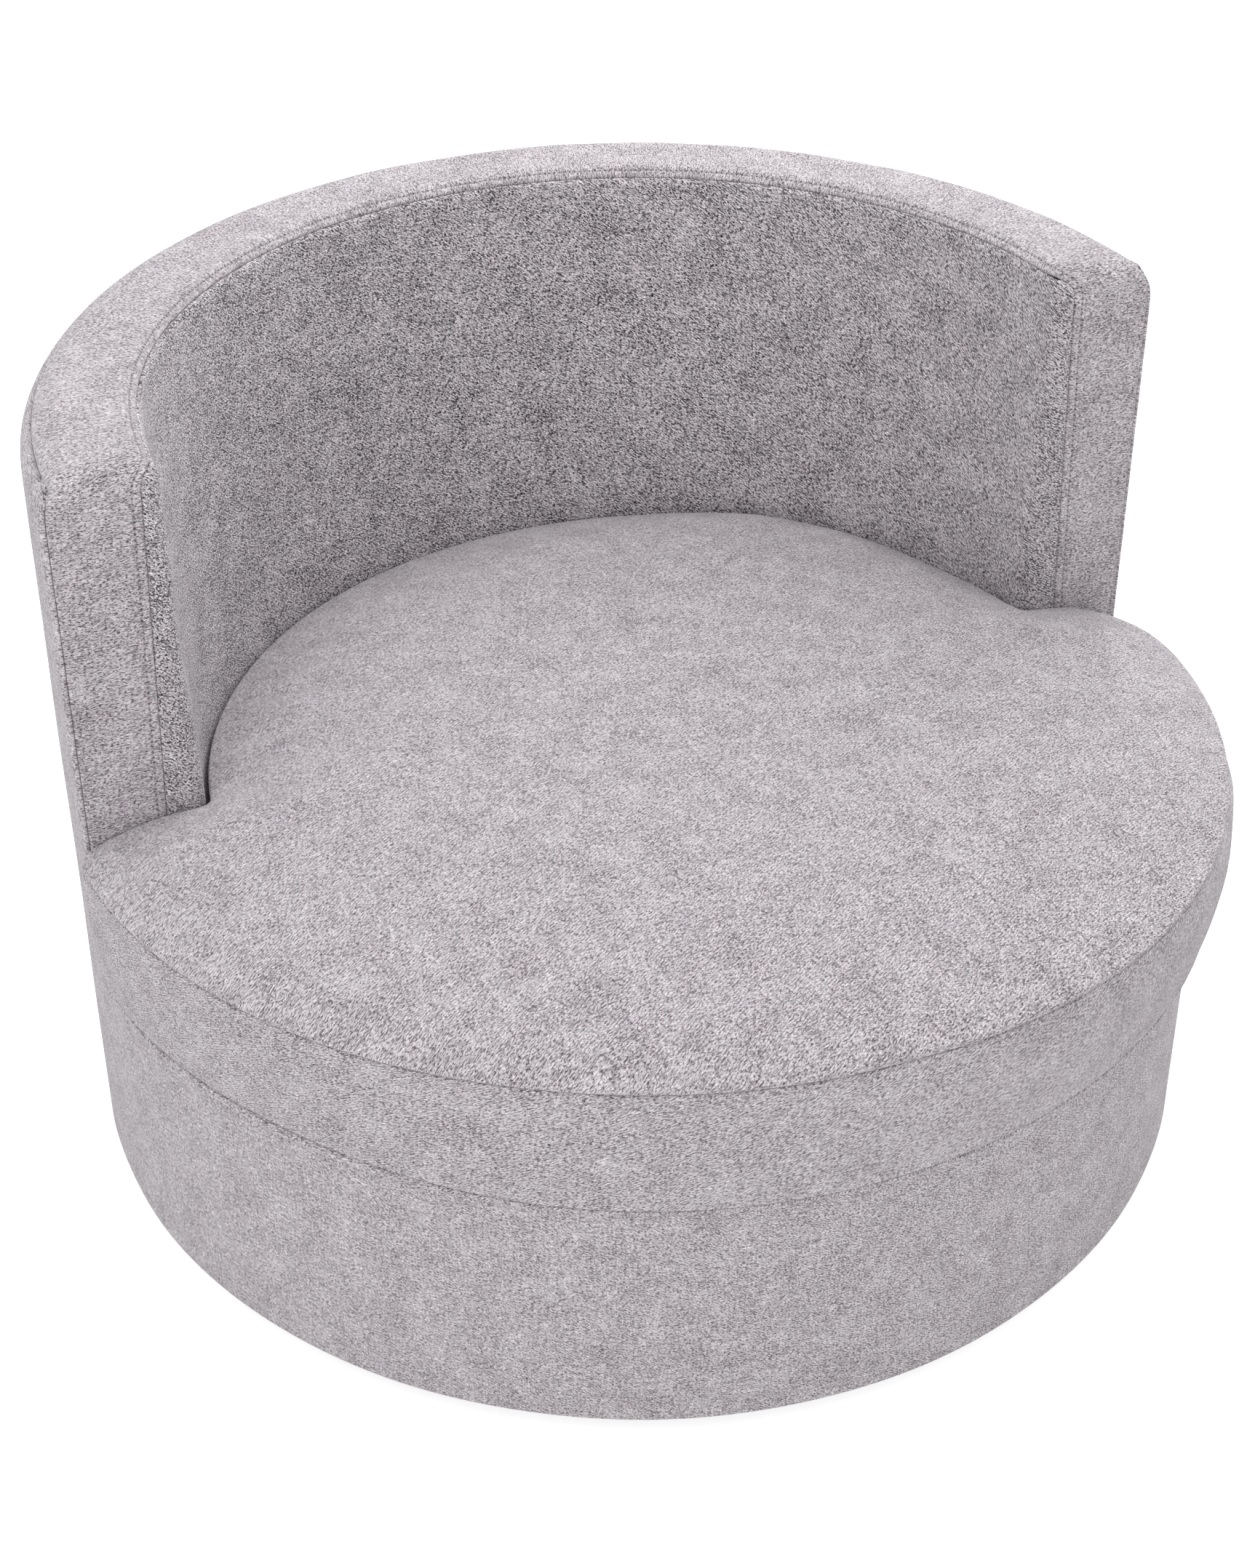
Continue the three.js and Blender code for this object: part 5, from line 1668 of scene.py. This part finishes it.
def plywood(name, centre, axes):
    """Birch plywood with its grain and plies in the board's own axes."""
    made, tree = new_material(name)
    where = add_node(tree, "TexCoord")
    turn = tuple(Matrix(axes.tolist()).to_euler())
    shift = tuple(float(part) for part in -(axes @ centre))
    own = add_node(tree, "Mapping", {
        "Vector": where.outputs["Object"], "Rotation": turn, "Location": shift,
    }).outputs[0]
    facing = add_node(tree, "Mapping", {"Vector": where.outputs["Normal"], "Rotation": turn},
                      vector_type="POINT").outputs[0]
    facing = math_node(tree, "ABSOLUTE", add_node(tree, "SeparateXYZ", {0: facing}).outputs[2])
    flat_face = map_range(tree, facing, 0.5, 0.8, 0.0, 1.0)
    grain = noise(tree, scaled(tree, own, (6.0, 90.0, 30.0)), 1.0, 4.0, Distortion=0.6)
    pores = noise(tree, scaled(tree, own, (90.0, 1500.0, 400.0)), 1.0, 2.0)
    veneer = ramp(tree, grain, [
        (0.25, (0.50, 0.34, 0.19)), (0.5, (0.63, 0.46, 0.28)), (0.75, (0.72, 0.56, 0.37)),
    ])
    dark_pores = ramp(tree, pores, [(0.35, 0.72), (0.55, 1.0)])
    veneer = blend_colours(tree, 0.5, veneer, dark_pores, "MULTIPLY")
    through = add_node(tree, "SeparateXYZ", {0: own}).outputs[2]
    ply = math_node(tree, "SINE", math_node(tree, "MULTIPLY", through, math.pi / PLY))
    ply = math_node(tree, "MULTIPLY_ADD", ply, 0.5, 0.5)
    layers = ramp(tree, ply, [
        (0.30, (0.26, 0.16, 0.09)), (0.42, (0.50, 0.35, 0.20)), (0.60, (0.66, 0.50, 0.32)),
    ])
    layers = blend_colours(tree, 0.4, layers, ramp(tree, pores, [(0.3, 0.6), (0.6, 1.0)]), "MULTIPLY")
    colour = blend_colours(tree, flat_face, layers, veneer)
    height = math_node(tree, "MULTIPLY_ADD", ply, 0.3, pores)
    finish_surface(tree, colour, height, (0.4, 0.0003), {"Roughness": 0.62})
    return made


def hardboard():
    """Pressed brown board, smooth but mottled with fibre."""
    made, tree = new_material("hardboard")
    place = add_node(tree, "TexCoord").outputs["Object"]
    fibre = noise(tree, place, 420.0, 4.0)
    cloud = noise(tree, place, 14.0, 3.0)
    colour = ramp(tree, fibre, [(0.3, (0.14, 0.075, 0.04)), (0.7, (0.27, 0.155, 0.085))])
    colour = blend_colours(tree, 0.5, colour, ramp(tree, cloud, [(0.3, 0.7), (0.7, 1.0)]), "MULTIPLY")
    finish_surface(tree, colour, fibre, (0.4, 0.0002), {"Roughness": 0.5})
    return made


# %% [markdown]
# The swivel and the screws are zinc-plated, the springs are dark oiled wire and the glides are
# black nylon. Plain metal would look like a mirror, so the plating is cloudy and lightly
# scratched, and the glides are scuffed where they rub on the floor.

# %% Metal and plastic
def metal(name, dark, light, roughness, blotch_scale, scratch_scale):
    """Bare or plated steel: cloudy plating and fine scratches."""
    made, tree = new_material(name)
    place = add_node(tree, "TexCoord").outputs["Object"]
    blotch = add_node(tree, "TexVoronoi", {
        "Vector": place, "Scale": blotch_scale, "Randomness": 1.0,
    }).outputs["Color"]
    blotch = add_node(tree, "SeparateColor", {0: blotch}).outputs[0]
    cloud = noise(tree, place, blotch_scale / 3, 4.0)
    mixed = math_node(tree, "MULTIPLY_ADD", blotch, 0.35, math_node(tree, "MULTIPLY", cloud, 0.65))
    scratch = noise(tree, scaled(tree, place, (1.0, 0.12, 1.0)), scratch_scale, 2.0)
    colour = ramp(tree, mixed, [(0.25, dark), (0.7, light)])
    rough = map_range(tree, scratch, 0.3, 0.7, roughness - 0.08, roughness + 0.10)
    finish_surface(tree, colour, scratch, (0.2, 0.0001), {"Metallic": 1.0, "Roughness": rough})
    return made


def nylon():
    """Dark moulded nylon, finely spark-eroded and scuffed where it rubs on the floor."""
    made, tree = new_material("glide_nylon")
    place = add_node(tree, "TexCoord").outputs["Object"]
    grain = noise(tree, place, 1400.0, 2.0)
    scuff = noise(tree, place, 160.0, 4.0)
    height = add_node(tree, "SeparateXYZ", {0: place}).outputs[2]
    low = map_range(tree, height, 0.0, 0.002, 0.5, 0.0)
    colour = ramp(tree, grain, [(0.3, (0.022, 0.022, 0.026)), (0.7, (0.042, 0.042, 0.048))])
    worn = ramp(tree, scuff, [(0.45, (0.04, 0.04, 0.045)), (0.6, (0.16, 0.155, 0.15))])
    colour = blend_colours(tree, low, colour, worn)
    finish_surface(tree, colour, grain, (0.4, 0.0002), {"Roughness": 0.55})
    return made


zinc = metal("zinc_steel", (0.42, 0.43, 0.44), (0.68, 0.68, 0.66), 0.38, 240.0, 900.0)
spring = metal("spring_steel", (0.16, 0.16, 0.17), (0.30, 0.30, 0.31), 0.34, 120.0, 1500.0)
staple.data.materials.append(zinc)
plain = {"hardboard": hardboard(), "steel": zinc, "spring_steel": spring, "glide": nylon()}
print("finishes", [finish.name for finish in plain.values()])

# %% [markdown]
# Each node names its material slot in the part's record. Boards get a plywood of their own,
# because the grain runs another way in each, and everything else shares one finish of its kind.

# %% Dress the frame
def dress(thing, material):
    """Puts one material in all of a CAD node's slots."""
    if not thing.material_slots:
        thing.data.materials.append(None)
    for place in thing.material_slots:
        place.material = material


dressed = 0
for part in frame["record"]["subparts"]:
    thing = frame["nodes"][part["node"]]
    kind = part["material_slot"]
    if kind == "plywood":
        dress(thing, plywood("plywood_" + part["node"], *board_axes(thing)))
        dressed += 1
    elif kind in plain:
        dress(thing, plain[kind])
        dressed += 1
print("dressed", dressed, "nodes of the frame")
